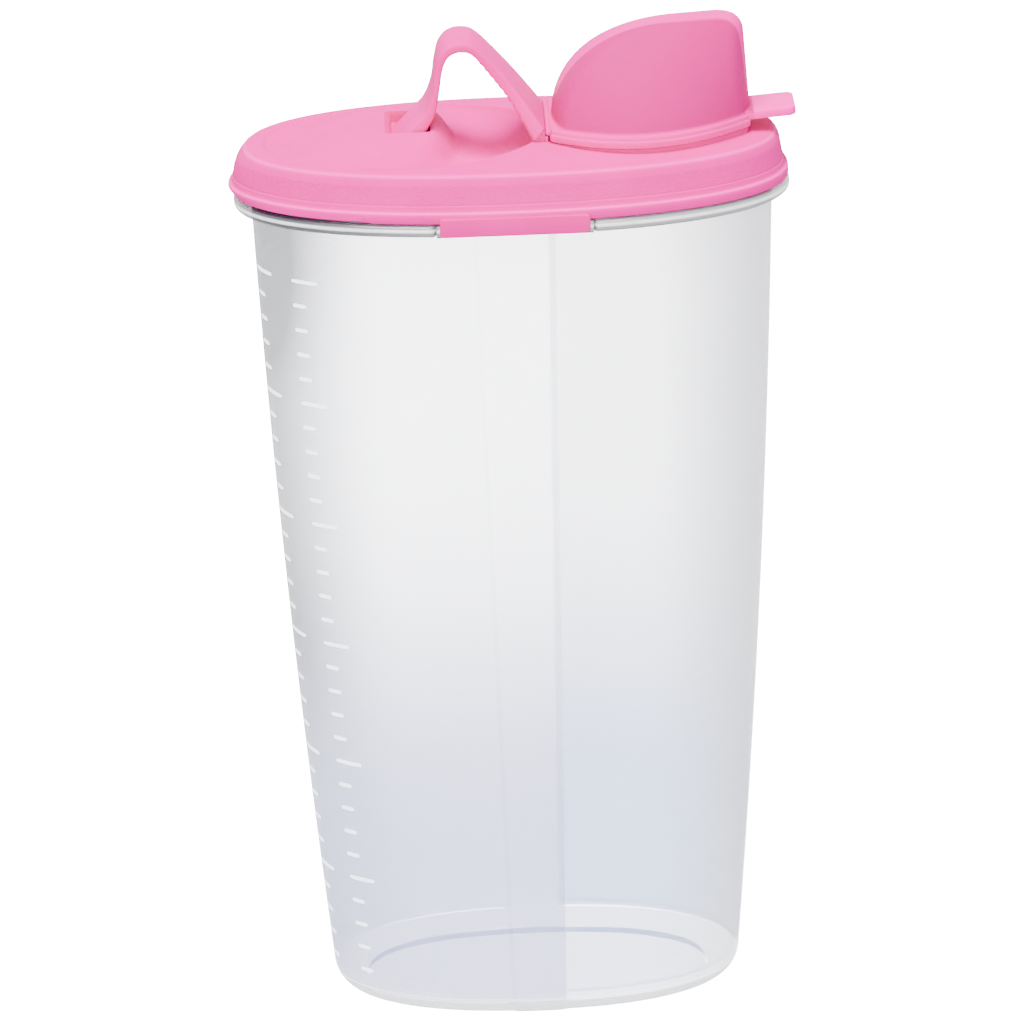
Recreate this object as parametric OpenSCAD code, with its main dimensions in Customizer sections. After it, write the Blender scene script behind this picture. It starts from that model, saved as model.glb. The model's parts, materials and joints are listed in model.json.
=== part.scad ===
// Cereal container with a flip spout, in millimetres.
// X runs along the oval, the spout points to +X, -Y is the front, and the base stands on Z = 0.

/* [Tub] */
// Height of the tub's mouth above the table
tub_h = 304; // [240:1:340]
// Length of the wall just under the rim
tub_len = 178; // [168:1:196]
// Depth of the wall just under the rim, front to back
tub_dep = 89; // [80:1:98]
// Length of the wall at the foot
base_len = 142; // [110:1:165]
// Depth of the wall at the foot
base_dep = 86; // [70:1:88]
// Bow of the wall between foot and rim, 0 is straight
tub_bow = 0.5; // [0:0.05:0.8]
// Rounding of the edge round the foot
base_r = 9; // [4:0.5:14]
// Thickness of the wall
tub_wall = 1.8; // [1.2:0.1:3]
// Thickness of the floor
floor_t = 2.6; // [1.5:0.1:5]
// Squareness of the oval, 2 is a true ellipse
oval_n = 2.28; // [2:0.02:3]
// Width of the spine on the front and back at the rim
spine_top = 27; // [10:1:40]
// Width of the spine at the foot
spine_base = 18; // [8:1:30]
// How far the spine stands out
spine_out = 0.8; // [0.2:0.1:1.5]

/* [Rim] */
// How far the rim stands out from the wall
rim_out = 6; // [4.6:0.2:9]
// How far the collar inside the lid stands above the rim's underside
neck_h = 15.4; // [13:0.2:18]
// Thickness of the rim
rim_t = 4.6; // [3:0.2:6]
// Length of the gap in the rim that frees the lift tab
rim_gap = 54; // [30:1:70]

/* [Lid] */
// How far the lip of the lid stays inside the rim's outline
lip_in = 0.6; // [0:0.1:2]
// Height of the lip band
lip_h = 4.4; // [3:0.2:6]
// Step from the lip band in to the side wall
lip_step = 1.5; // [0.5:0.1:2.5]
// Height of the deck's edge above the lip's underside
deck_rise = 16.4; // [15:0.2:24]
// How far the deck's edge lies inside the lip
deck_in = 6; // [4:0.2:8]
// How much higher the deck is in the middle
crown = 2.4; // [0.5:0.1:4]
// Thickness of the lid's wall
lid_wall = 1.8; // [1.2:0.1:2.6]
// How far the plug reaches down inside the tub
plug_depth = 11; // [6:0.5:16]
// Thickness of the plug
plug_t = 1.4; // [1:0.1:2.5]
// Gap between the plug and the tub's wall
plug_gap = 0.3; // [0.15:0.05:0.6]
// Gap between the lip and the rim under it
seat_gap = 0.3; // [0.1:0.05:0.6]
// Length of the lift tabs at the front and back
tab_len = 50.4; // [25:0.2:60]
// Height of the lift tabs
tab_h = 6.4; // [4:0.2:9]
// How far the lift tabs reach above the lip's underside
tab_up = 2.2; // [1:0.1:4]
// Thickness of the lift tabs
tab_t = 2.2; // [1.4:0.1:3]
// How far the bulge at the left end stands out
ear_out = 1.9; // [0:0.1:3]

/* [Dish] */
// Gap between the dish and the deck's left end
dish_end = 3.7; // [2:0.1:12]
// Gap between the dish and the deck's front and back edges
dish_side = 6.1; // [4:0.1:16]
// Gap between the dish and the hinge line
dish_gap = 0.5; // [0.3:0.1:6]
// How deep the dish is under the fingers
dish_deep = 10; // [4:0.5:12]
// How deep the dish is at its left
dish_shallow = 0.8; // [0.3:0.1:3]
// Height of the swelling that holds the handle's foot
boss_h = 2; // [1:0.1:4]
// How far the swelling runs out to the left
boss_run = 22; // [12:1:30]
// Length of the pocket in the swelling
pocket_len = 17; // [15:0.5:22]
// Depth of the pocket
pocket_deep = 3; // [1.5:0.1:4]

/* [Spout] */
// Place of the hinge line along the lid
hinge_x = 12.8; // [8:0.2:20]
// How far the cap's tip stays inside the deck's right end
tip_in = 6.4; // [4:0.2:20]
// Half width of the flange where it is widest
spout_half = 32.4; // [25:0.2:36]
// Place of the widest point, from the hinge line
spout_wide_at = 30; // [20:0.5:36]
// Half width of the flange at the tip
tip_half = 9.8; // [7:0.2:14]
// Height of the plinth's top above the deck's edge
plinth_h = 2.1; // [1:0.1:4]
// Wall of the pouring collar
collar_t = 1.6; // [1:0.1:2.5]
// Height of the pouring collar above the plinth
collar_h = 4; // [2:0.2:6]

/* [Cap] */
// Height of the cap's flange
flange_h = 4; // [3:0.2:6]
// Ledge between the flange's edge and the hood
ledge = 1.6; // [0.8:0.1:4]
// Height of the hood above the flange
hood_h = 32.4; // [20:0.2:45]
// Half width of the strip along the hood's top
hood_top_half = 4.6; // [3:0.1:8]
// Length over which the hood's back rises
hood_back = 38; // [25:0.5:45]
// How much the hood's tip wall leans back
hood_lean = 2; // [0:0.1:4]
// Rounding of the hood's upper edge at the tip
hood_corner = 6; // [3:0.5:10]
// Rounding of the hood's ends in plan
hood_nose = 5; // [2:0.5:8]
// Rise of the hood's top towards the tip, as a share of its length
hood_slope = 0.05; // [0:0.01:0.12]
// Wall of the hood
cap_wall = 1.7; // [1.2:0.1:2.5]
// Gap under the flange and between flange and collar
cap_gap = 0.3; // [0.15:0.05:0.6]
// Length of the thumb tab beyond the tip
thumb_len = 15.4; // [8:0.2:20]
// Thickness of the thumb tab
thumb_t = 3.1; // [1.6:0.1:4]
// How far the thumb tab's underside lies below the flange's top
thumb_low = 2; // [1:0.1:3]
// Radius of the thumb tab's corners
thumb_r = 2.8; // [1:0.1:6]
// Upward lean of the thumb tab in degrees
thumb_lean = 4; // [0:1:12]
// Radius of the rolled edge along the hinge line
hinge_r = 1; // [0.7:0.1:1.5]
// Gap between the rolled edge and the handle's foot
hinge_gap = 0.1; // [0.05:0.05:0.3]

/* [Handle] */
// Height of the handle's top above the deck's edge
handle_h = 36; // [28:0.5:46]
// Half width of the strap at the top
strap_half = 12; // [8:0.5:15]
// Half width of the strap at its left foot
foot_half = 12.8; // [6:0.2:15]
// Half width of the strap where it meets the cap
root_half = 19.2; // [14:0.2:22]
// Thickness of the strap at the top
strap_t = 4; // [3:0.2:6]
// Thickness of the strap where it stands beside the hinge line
root_t = 4.6; // [3:0.2:6]

/* [Hidden] */

whole = 360;
around = 96;
lid_around = 64;
dish_around = 64;
rim_len = tub_len + 2 * rim_out;
rim_dep = tub_dep + 2 * rim_out;
rim_z = tub_h - neck_h;
rim_top = rim_z + rim_t;
lip_z = rim_top + seat_gap;
deck_z = lip_z + deck_rise;
lid_a = rim_len / 2 - lip_in;
lid_b = rim_dep / 2 - lip_in;
deck_a = lid_a - deck_in;
deck_b = lid_b - 0.8 * deck_in;
plinth_z = deck_z + plinth_h;
flange_z = plinth_z + cap_gap;
flange_top = flange_z + flange_h;
hinge_z = flange_top - hinge_r;
tip_x = deck_a - tip_in;
spout_len = tip_x - hinge_x;
collar_in = ledge + cap_wall + 3 * cap_gap;
collar_back = norm([ledge + cap_wall, hinge_z - flange_z]) + 3 * cap_gap;
dish_left = dish_end - deck_a;
dish_len = hinge_x - dish_gap - dish_left;
dish_dep = 2 * (deck_b - dish_side);
dish_x = dish_left + dish_len / 2;
boss_x = dish_x + 1.5;
boss_z = deck_z + crown + boss_h;
foot_z = boss_z - pocket_deep;
pocket_x = boss_x - 9.3;
handle_top = deck_z + handle_h;
strap_end = hinge_x - hinge_r - hinge_gap;
root_top = flange_top + 0.6;

// A point on an oval of half axes a and b at angle q
function oval(a, b, q, n = oval_n) = [
    a * sign(cos(q)) * pow(abs(cos(q)), 2 / n),
    b * sign(sin(q)) * pow(abs(sin(q)), 2 / n)];

// Angles round an oval, closer together at the front and back where the spine stands
function turn(i) = let (q = whole * i / around) q - 17 * sin(2 * q);

// Smooth step from 0 to 1
function ease(t) = let (s = min(1, max(0, t))) s * s * (3 - 2 * s);

// Share of the way from the foot to the rim, bowed outwards
function rise(z) = let (t = z / rim_z) t + tub_bow * t * (1 - t);

// Half length and half depth of the tub's wall at height z
function tub_a(z) = base_len / 2 + (tub_len - base_len) / 2 * rise(min(z, rim_z));
function tub_b(z) = base_dep / 2 + (tub_dep - base_dep) / 2 * rise(min(z, rim_z));

// Height of the spine at x on the wall at height z
function spine(x, z) =
    let (w = (spine_base + (spine_top - spine_base) * min(1, z / rim_z)) / 2)
    spine_out * ease((w - abs(x)) / 3.5);

// One ring of the tub's outside, pulled in by inset
function tub_ring(z, inset) = [for (i = [0:around - 1])
    let (p = oval(tub_a(z) - inset, tub_b(z) - inset, turn(i)))
    [p.x, p.y + sign(p.y) * spine(p.x, z), z]];

// One plain oval ring
function ring(a, b, z, count = around) = [for (i = [0:count - 1])
    let (p = oval(a, b, whole * i / count)) [p.x, p.y, z]];

// Height of the lid's domed deck at a point
function deck(x, y) = deck_z + crown * (1 - pow(x / deck_a, 2) - pow(y / deck_b, 2));

// How deep the dish lies below the dome at x
function dish_drop(x) = dish_shallow
    + (dish_deep - dish_shallow) * ease((x - dish_x - 4) / (0.34 * dish_len));

// One ring of the dish, at share s of its outline, lowered by drop
function dish_ring(s, drop, lift) = [for (i = [0:dish_around - 1])
    let (p = oval(s * dish_len / 2, s * dish_dep / 2, whole * i / dish_around, 2), x = p.x + dish_x)
    [x, p.y, deck(x, p.y) - dish_drop(x) * (1 - pow(min(1, s), 4)) - drop + lift]];

// Half width of the spout's outline at a distance from the hinge line
function spout_w(d) =
    let (far = spout_len - spout_wide_at, sag = (spout_half - tip_half) / (far * far))
    spout_half - sag * pow(d - spout_wide_at, 2);

// The spout's outline in plan, pulled in by inset, or by back at the hinge line
function spout_outline(inset, back = undef, steps = 24) =
    let (x0 = is_undef(back) ? inset : back, x1 = spout_len - inset,
        side = [for (i = [0:steps]) let (d = x0 + (x1 - x0) * i / steps) [d, spout_w(d) - 1.15 * inset]])
    concat([for (p = side) [hinge_x + p.x, -p.y]], [for (i = [steps:-1:0]) [hinge_x + side[i].x, side[i].y]]);

// One ring of the hood at angle q up its rounded back, with the wall taken off
function hood_ring(q, wall, half = 24) =
    let (t = sin(q),
        top = hood_h - wall,
        x0 = hinge_x + ledge + wall + hood_back * (1 - cos(q)),
        over = max(0, t * top - top + hood_corner),
        x1 = tip_x - wall - hood_lean * t - (hood_corner - sqrt(hood_corner * hood_corner - over * over)) * 0.9)
    [for (i = [0:2 * half - 1])
        let (k = i < half ? i : 2 * half - i,
            u = (1 - cos(180 * k / half)) / 2,
            x = x0 + (x1 - x0) * u,
            w0 = spout_w(x - hinge_x) - 1.15 * ledge,
            w = hood_top_half + (w0 - hood_top_half) * (1 - pow(t, 1.3)) - wall,
            near = max(0, min(1, min(x - x0, x1 - x) / hood_nose)),
            y = w * sqrt(1 - (1 - near) * (1 - near)))
        [x, i < half ? -y : y, flange_top + t * (top + hood_slope * (x - hinge_x - hood_back))]];

// Closed skin over a stack of rings that run anticlockwise seen from above
module skin(rings) {
    n = len(rings[0]);
    m = len(rings);
    walls = [for (j = [0:m - 2]) for (i = [0:n - 1])
        let (a = j * n + i, b = j * n + (i + 1) % n)
        each [[a, a + n, b + n], [a, b + n, b]]];
    low = [for (i = [0:n - 1]) i];
    high = [for (i = [n - 1:-1:0]) (m - 1) * n + i];
    polyhedron([for (r = rings) each r], concat(walls, [low, high]), convexity = 10);
}

// Outside of the tub's wall with its rounded foot
module tub_outside() {
    foot = [for (q = [0:22.5:90]) tub_ring(base_r * (1 - cos(q)), base_r * (1 - sin(q)))];
    wall = [for (k = [1:5]) let (z = base_r + (rim_z - base_r) * k / 5) tub_ring(z, 0)];
    skin(concat(foot, wall, [ring(tub_a(rim_z), tub_b(rim_z), rim_z + 0.6, around)]));
}

// Room inside the tub
module tub_inside() {
    r = base_r - tub_wall;
    foot = [for (q = [0:30:90]) let (z = floor_t + r * (1 - cos(q)))
        ring(tub_a(z) - tub_wall - r * (1 - sin(q)), tub_b(z) - tub_wall - r * (1 - sin(q)), z, 72)];
    wall = [for (k = [1:4]) let (z = floor_t + r + (rim_z - floor_t - r) * k / 4)
        ring(tub_a(z) - tub_wall, tub_b(z) - tub_wall, z, 72)];
    skin(concat(foot, wall, [ring(tub_a(tub_h) - tub_wall, tub_b(tub_h) - tub_wall, tub_h + 1, 72)]));
}

// Rounded rim that carries the lid, open at the front and back for the lift tabs
module rim() {
    a = rim_len / 2;
    b = rim_dep / 2;
    r = rim_t / 2;
    bead = [for (q = [0:30:180]) ring(a - r * (1 - sin(q)), b - r * (1 - sin(q)), rim_z + r * (1 - cos(q)), 72)];
    difference() {
        skin(bead);
        for (side = [-1, 1])
            translate([0, side * rim_dep / 2, rim_z + r])
                cube([rim_gap, 2 * rim_out - 1, rim_t + 2], center = true);
    }
}

// One moulding: wall, floor, rim and the collar that the lid closes round
module tub() {
    color([0.9, 0.91, 0.93, 0.55])
    difference() {
        union() {
            tub_outside();
            rim();
            skin([for (z = [rim_z + 0.3, tub_h]) ring(tub_a(rim_z), tub_b(rim_z), z, 72)]);
        }
        tub_inside();
    }
}

// Half axes and height of the lid's outside, from the lip up to the deck's edge, pulled in by wall
function lid_side(wall) =
    let (step_z = lip_z + lip_h, shoulder_z = deck_z - 5.6, a = lid_a - wall, b = lid_b - wall)
    concat(
        [[a, b, lip_z]],
        wall > 0 ? [] : [[a + 0.3, b + 0.3, lip_z + 1], [a + 0.3, b + 0.3, step_z - 1.2]],
        [[a - 0.5, b - 0.5, step_z], [a - lip_step, b - lip_step, step_z + 1]],
        [for (q = [0:(wall > 0 ? 30 : 18):90]) [
            deck_a - wall + (deck_in - lip_step - 0.8) * cos(q),
            deck_b - wall + (lid_b - deck_b - lip_step - 0.8) * cos(q),
            shoulder_z + (deck_z - shoulder_z) * sin(q)]]);

// One ring of the lid's side, with the bulge at its left end
function side_ring(s) = [for (i = [0:lid_around - 1])
    let (q = whole * i / lid_around, p = oval(s.x, s.y, q),
        up = (s.z - lip_z) / deck_rise,
        bulge = ear_out * ease(1 - abs(q - whole / 2) / 36) * ease(up / 0.15) * ease((1 - up) / 0.45))
    [p.x - bulge, p.y, s.z]];

// One ring of the dome, at share s of the deck's outline, lowered by drop
function dome_ring(s, drop, wall) = [for (i = [0:lid_around - 1])
    let (p = oval(s * (deck_a - wall), s * (deck_b - wall), whole * i / lid_around))
    [p.x, p.y, deck(p.x, p.y) - drop]];

// Solid form of the lid before it is hollowed, or of the hollow when wall and drop are given
module lid_form(wall, drop, start) {
    side = [for (s = lid_side(wall)) side_ring([s.x, s.y, s.z == lip_z ? lip_z - start : s.z - drop])];
    dome = [for (s = [0.85, 0.6, 0.3]) dome_ring(s, drop, wall)];
    skin(concat(side, dome));
}

// The dish as a solid to take away, lowered by drop and widened by grow
module dish(drop, grow) {
    low = [for (s = [0.12, 0.3, 0.46, 0.6, 0.73, 0.84, 0.93, 1]) dish_ring(s + grow * s, drop, 0)];
    skin(concat(low, [dish_ring(1.12 + grow, -1, 3)]));
}

// Low swelling in the dish round the pocket for the handle's left foot, steep under the strap
module boss() {
    low = deck_z - lid_wall;
    skin([for (k = [0:5]) let (t = k / 5, out = boss_run * (1 - t), z = low + (boss_z - low) * ease(t))
        [for (i = [0:31])
            let (p = oval(0.6 * pocket_len + 0.55 * out, foot_half + 3.4 + 0.6 * out, whole * i / 32))
            [boss_x - 0.45 * out + p.x, p.y, z]]]);
}

// Ring that closes inside the tub's mouth
module plug() {
    a = tub_a(rim_z) - tub_wall - plug_gap;
    b = tub_b(rim_z) - tub_wall - plug_gap;
    difference() {
        skin([for (z = [tub_h - plug_depth, deck_z - 1.5]) ring(a, b, z, 48)]);
        skin([for (z = [tub_h - plug_depth - 1, deck_z + 1]) ring(a - plug_t, b - plug_t, z, 48)]);
    }
}

// Lift tabs that hang in the gaps of the rim
module lift_tabs() {
    out = lid_b + 0.9;
    for (side = [-1, 1])
        translate([0, side * (out - tab_t / 2), lip_z + tab_up - tab_h / 2]) {
            cube([tab_len - 2, tab_t, tab_h], center = true);
            cube([tab_len, tab_t, tab_h - 2], center = true);
        }
}

// One moulding: deck with dish and plinth, side wall, plug, lift tabs and pouring collar
module lid() {
    color([0.97, 0.47, 0.68])
    difference() {
        union() {
            difference() {
                lid_form(0, 0, 0);
                difference() {
                    lid_form(lid_wall, lid_wall + 0.4, 1);
                    dish(lid_wall + 0.6, 0.03);
                    translate([pocket_x - 2 * lid_wall, -foot_half - 2.5 * lid_wall, foot_z - 3 * lid_wall])
                        cube([pocket_len + 4 * lid_wall, 2 * foot_half + 5 * lid_wall, 4 * lid_wall]);
                }
                dish(0, 0);
            }
            boss();
            plug();
            lift_tabs();
            translate([0, 0, deck_z - 2.5])
                linear_extrude(plinth_z - deck_z + 2.5) plinth_plan();
            translate([0, 0, deck_z - 2.5])
                linear_extrude(plinth_z - deck_z + 2.5 + collar_h) polygon(spout_outline(collar_in, collar_back));
        }
        translate([0, 0, lip_z + lip_h]) linear_extrude(deck_rise + plinth_h + collar_h)
            polygon(spout_outline(collar_in + collar_t, collar_back + collar_t));
        translate([0, 0, plinth_z]) linear_extrude(2 * collar_h) difference() {
            polygon(spout_outline(-1));
            polygon(spout_outline(collar_in, collar_back));
        }
        translate([strap_end - root_t - 2, -root_half - 0.6, plinth_z])
            cube([root_t + 5, 2 * root_half + 1.2, 2 * collar_h]);
        translate([pocket_x, -foot_half - 0.4, foot_z])
            cube([pocket_len, 2 * foot_half + 0.8, pocket_deep + crown]);
    }
}

// Plan of the plinth under the cap and under the handle's right foot
module plinth_plan() {
    polygon(spout_outline(1));
    translate([strap_end - root_t, -root_half]) square([root_t + 2, 2 * root_half]);
}

// Points of the strap's outer and inner curve, and its half width, from the left foot to the root
function strap_keys() = [
    [[boss_x - 5, foot_z], [boss_x + 5, foot_z], foot_half],
    [[boss_x + 0.4, foot_z + 5.2], [boss_x + 7.4, foot_z + 5], foot_half],
    [[boss_x + 5.6, foot_z + 10.5], [boss_x + 9.7, foot_z + 9.6], foot_half],
    [[boss_x + 8.4, handle_top - 17.5], [boss_x + 11.3, handle_top - 17.5], (foot_half + strap_half) / 2],
    [[boss_x + 9.6, handle_top - 10.5], [boss_x + 12.5, handle_top - 10.7], strap_half],
    [[boss_x + 11.2, handle_top - 4.6], [boss_x + 14, handle_top - 6.7], strap_half],
    [[boss_x + 14.4, handle_top - 1.1], [boss_x + 16, handle_top - strap_t - 0.7], strap_half],
    [[boss_x + 19.2, handle_top], [boss_x + 19.3, handle_top - strap_t], strap_half],
    [[boss_x + 24.3, handle_top - 1.8], [boss_x + 23, handle_top - strap_t - 1.5], strap_half],
    [[strap_end - 13.9, handle_top - 10.4], [strap_end - 17.3, handle_top - 13.1], strap_half + 0.6],
    [[strap_end - 7.1, handle_top - 19], [strap_end - 11.1, handle_top - 21.6], strap_half + 3],
    [[strap_end, root_top], [strap_end - root_t, plinth_z], root_half]];

// Point at t on a smooth curve through four values, between the middle two
function through(a, b, c, d, t) =
    0.5 * (2 * b + (c - a) * t + (2 * a - 5 * b + 4 * c - d) * t * t + (3 * b - 3 * c + d - a) * t * t * t);

// One station of the strap: outer point, inner point and half width
function strap_at(keys, k, t) =
    let (last = len(keys) - 1, a = keys[max(0, k - 1)], b = keys[k], c = keys[k + 1], d = keys[min(last, k + 2)])
    [through(a[0], b[0], c[0], d[0], t), through(a[1], b[1], c[1], d[1], t), through(a[2], b[2], c[2], d[2], t)];

// Section of the strap as a rounded ring
function strap_ring(s) =
    let (mid = (s[0] + s[1]) / 2, arm = (s[0] - s[1]) / 2)
    [for (i = [0:15]) let (p = oval(1, 1, 22.5 * i, 4.5))
        [mid.x + arm.x * p.y, s[2] * p.x, mid.y + arm.y * p.y]];

// Arched strap from the boss over the dish to the hinge line
module handle() {
    keys = strap_keys();
    stations = concat(
        [for (k = [0:len(keys) - 2]) for (t = [0, 1 / 3, 2 / 3]) strap_at(keys, k, t)],
        [keys[len(keys) - 1]]);
    color([0.97, 0.47, 0.68]) {
        skin([for (s = stations) strap_ring(s)]);
        translate([0, root_half - 0.8, 0]) rotate([90, 0, 0]) linear_extrude(2 * root_half - 1.6)
            polygon([[strap_end - root_t, plinth_z], [strap_end, plinth_z], [strap_end, root_top]]);
    }
}

// Tab for the thumb at the tip, leaning up
module thumb_tab() {
    long = thumb_len + 2;
    translate([tip_x - 2, 0, flange_top - thumb_low]) rotate([0, -thumb_lean, 0]) linear_extrude(thumb_t) {
        translate([0, -tip_half]) square([long - thumb_r, 2 * tip_half]);
        translate([0, thumb_r - tip_half]) square([long, 2 * (tip_half - thumb_r)]);
        for (side = [-1, 1])
            translate([long - thumb_r, side * (tip_half - thumb_r)]) circle(thumb_r, $fn = 40);
    }
}

// One moulding: flange, hollow hood, thumb tab and the rolled edge at the hinge line
module flip_cap() {
    color([0.97, 0.45, 0.67])
    difference() {
        union() {
            translate([0, 0, flange_z]) linear_extrude(0.6 * flange_h) polygon(spout_outline(0));
            translate([0, 0, flange_z]) linear_extrude(flange_h) polygon(spout_outline(0.4 * ledge));
            skin([for (q = [0:9:90]) hood_ring(q, 0)]);
            thumb_tab();
            translate([hinge_x, 0, hinge_z]) rotate([90, 0, 0])
                cylinder(h = 2 * root_half - 1.6, r = hinge_r, center = true, $fn = 32);
        }
        skin([for (q = [0:9:90]) hood_ring(q, cap_wall)]);
        translate([0, 0, flange_z - 1]) linear_extrude(flange_h + 1.2) polygon(spout_outline(ledge + cap_wall));
    }
}

tub();
lid();
handle();
flip_cap();
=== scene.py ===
"""Looks of the cereal container with a flip spout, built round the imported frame."""

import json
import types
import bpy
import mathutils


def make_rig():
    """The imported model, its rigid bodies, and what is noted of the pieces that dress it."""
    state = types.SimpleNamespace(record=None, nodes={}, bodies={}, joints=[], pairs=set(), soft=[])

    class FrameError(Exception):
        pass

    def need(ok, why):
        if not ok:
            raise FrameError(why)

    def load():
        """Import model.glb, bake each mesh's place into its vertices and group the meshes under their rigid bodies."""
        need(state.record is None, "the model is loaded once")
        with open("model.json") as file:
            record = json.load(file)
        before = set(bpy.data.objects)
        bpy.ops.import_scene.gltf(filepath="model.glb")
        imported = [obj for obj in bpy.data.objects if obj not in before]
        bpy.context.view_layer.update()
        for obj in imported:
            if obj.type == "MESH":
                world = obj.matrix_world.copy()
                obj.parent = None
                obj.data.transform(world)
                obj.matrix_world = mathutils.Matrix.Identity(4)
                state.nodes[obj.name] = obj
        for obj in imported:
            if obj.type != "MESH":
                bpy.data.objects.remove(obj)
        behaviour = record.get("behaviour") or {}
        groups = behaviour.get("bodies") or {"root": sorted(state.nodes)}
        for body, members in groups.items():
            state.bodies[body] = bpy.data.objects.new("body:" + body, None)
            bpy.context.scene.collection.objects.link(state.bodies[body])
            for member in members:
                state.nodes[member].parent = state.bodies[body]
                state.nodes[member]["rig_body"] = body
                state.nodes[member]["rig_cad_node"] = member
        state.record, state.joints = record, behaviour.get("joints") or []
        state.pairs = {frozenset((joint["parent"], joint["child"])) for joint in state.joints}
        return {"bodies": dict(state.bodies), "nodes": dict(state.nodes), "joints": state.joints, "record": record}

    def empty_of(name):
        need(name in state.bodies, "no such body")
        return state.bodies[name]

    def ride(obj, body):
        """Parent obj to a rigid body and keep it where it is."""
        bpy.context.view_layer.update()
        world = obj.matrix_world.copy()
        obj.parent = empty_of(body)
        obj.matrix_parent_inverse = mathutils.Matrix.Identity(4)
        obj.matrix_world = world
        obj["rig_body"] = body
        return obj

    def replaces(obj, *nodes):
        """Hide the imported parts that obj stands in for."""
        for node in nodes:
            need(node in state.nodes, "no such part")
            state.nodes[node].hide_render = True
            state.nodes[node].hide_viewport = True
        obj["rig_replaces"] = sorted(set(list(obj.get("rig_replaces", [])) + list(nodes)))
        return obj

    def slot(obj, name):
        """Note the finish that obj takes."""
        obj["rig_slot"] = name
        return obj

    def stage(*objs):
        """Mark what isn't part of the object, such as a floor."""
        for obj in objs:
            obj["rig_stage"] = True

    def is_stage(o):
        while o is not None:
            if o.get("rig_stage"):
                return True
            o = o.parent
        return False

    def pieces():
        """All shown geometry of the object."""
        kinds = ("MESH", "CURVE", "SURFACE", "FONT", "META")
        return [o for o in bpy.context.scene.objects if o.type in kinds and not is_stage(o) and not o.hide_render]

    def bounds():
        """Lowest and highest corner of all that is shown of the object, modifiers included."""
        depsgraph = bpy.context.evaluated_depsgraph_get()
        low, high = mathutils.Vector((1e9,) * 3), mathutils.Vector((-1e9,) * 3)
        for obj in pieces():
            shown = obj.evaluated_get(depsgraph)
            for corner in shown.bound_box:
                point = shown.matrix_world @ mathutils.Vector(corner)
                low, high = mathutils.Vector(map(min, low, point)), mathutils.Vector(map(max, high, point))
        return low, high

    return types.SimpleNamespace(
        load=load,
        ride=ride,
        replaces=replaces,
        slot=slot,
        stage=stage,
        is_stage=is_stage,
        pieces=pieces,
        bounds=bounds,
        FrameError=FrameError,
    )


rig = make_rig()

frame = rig.load()

import json
import logging
import math
from collections.abc import Iterable
from dataclasses import dataclass
from enum import Enum

import bmesh
import bpy
from mathutils import Matrix, Vector

MM = 0.001
LOG = logging.getLogger("cereal_container")
Point = tuple[float, float, float]
Ring = list[Point]


class Tip(Enum):
    """How the first or last ring of a loft is closed."""

    OPEN = "open"
    FACE = "face"
    POLE = "pole"


class Body(Enum):
    """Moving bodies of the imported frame."""

    TUB = "tub"
    LID = "lid"
    CAP = "cap"


class Slot(Enum):
    """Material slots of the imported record."""

    CLEAR = "clear_plastic"
    PINK = "pink_plastic"


def ease(t: float) -> float:
    """Smooth step from 0 to 1."""
    s = min(1.0, max(0.0, t))
    return s * s * (3 - 2 * s)


def power(base: float, exponent: float) -> float:
    """Power that keeps the sign of its base."""
    return math.copysign(abs(base) ** exponent, base)


def oval(a: float, b: float, q: float, n: float = 2.28) -> tuple[float, float]:
    """Point on an oval.

    Args:
        a: Half axis along X.
        b: Half axis along Y.
        q: Angle in degrees.
        n: Squareness, 2 is a true ellipse.

    Returns:
        The point's X and Y.
    """
    c, s = math.cos(math.radians(q)), math.sin(math.radians(q))
    return a * power(c, 2 / n), b * power(s, 2 / n)


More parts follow.
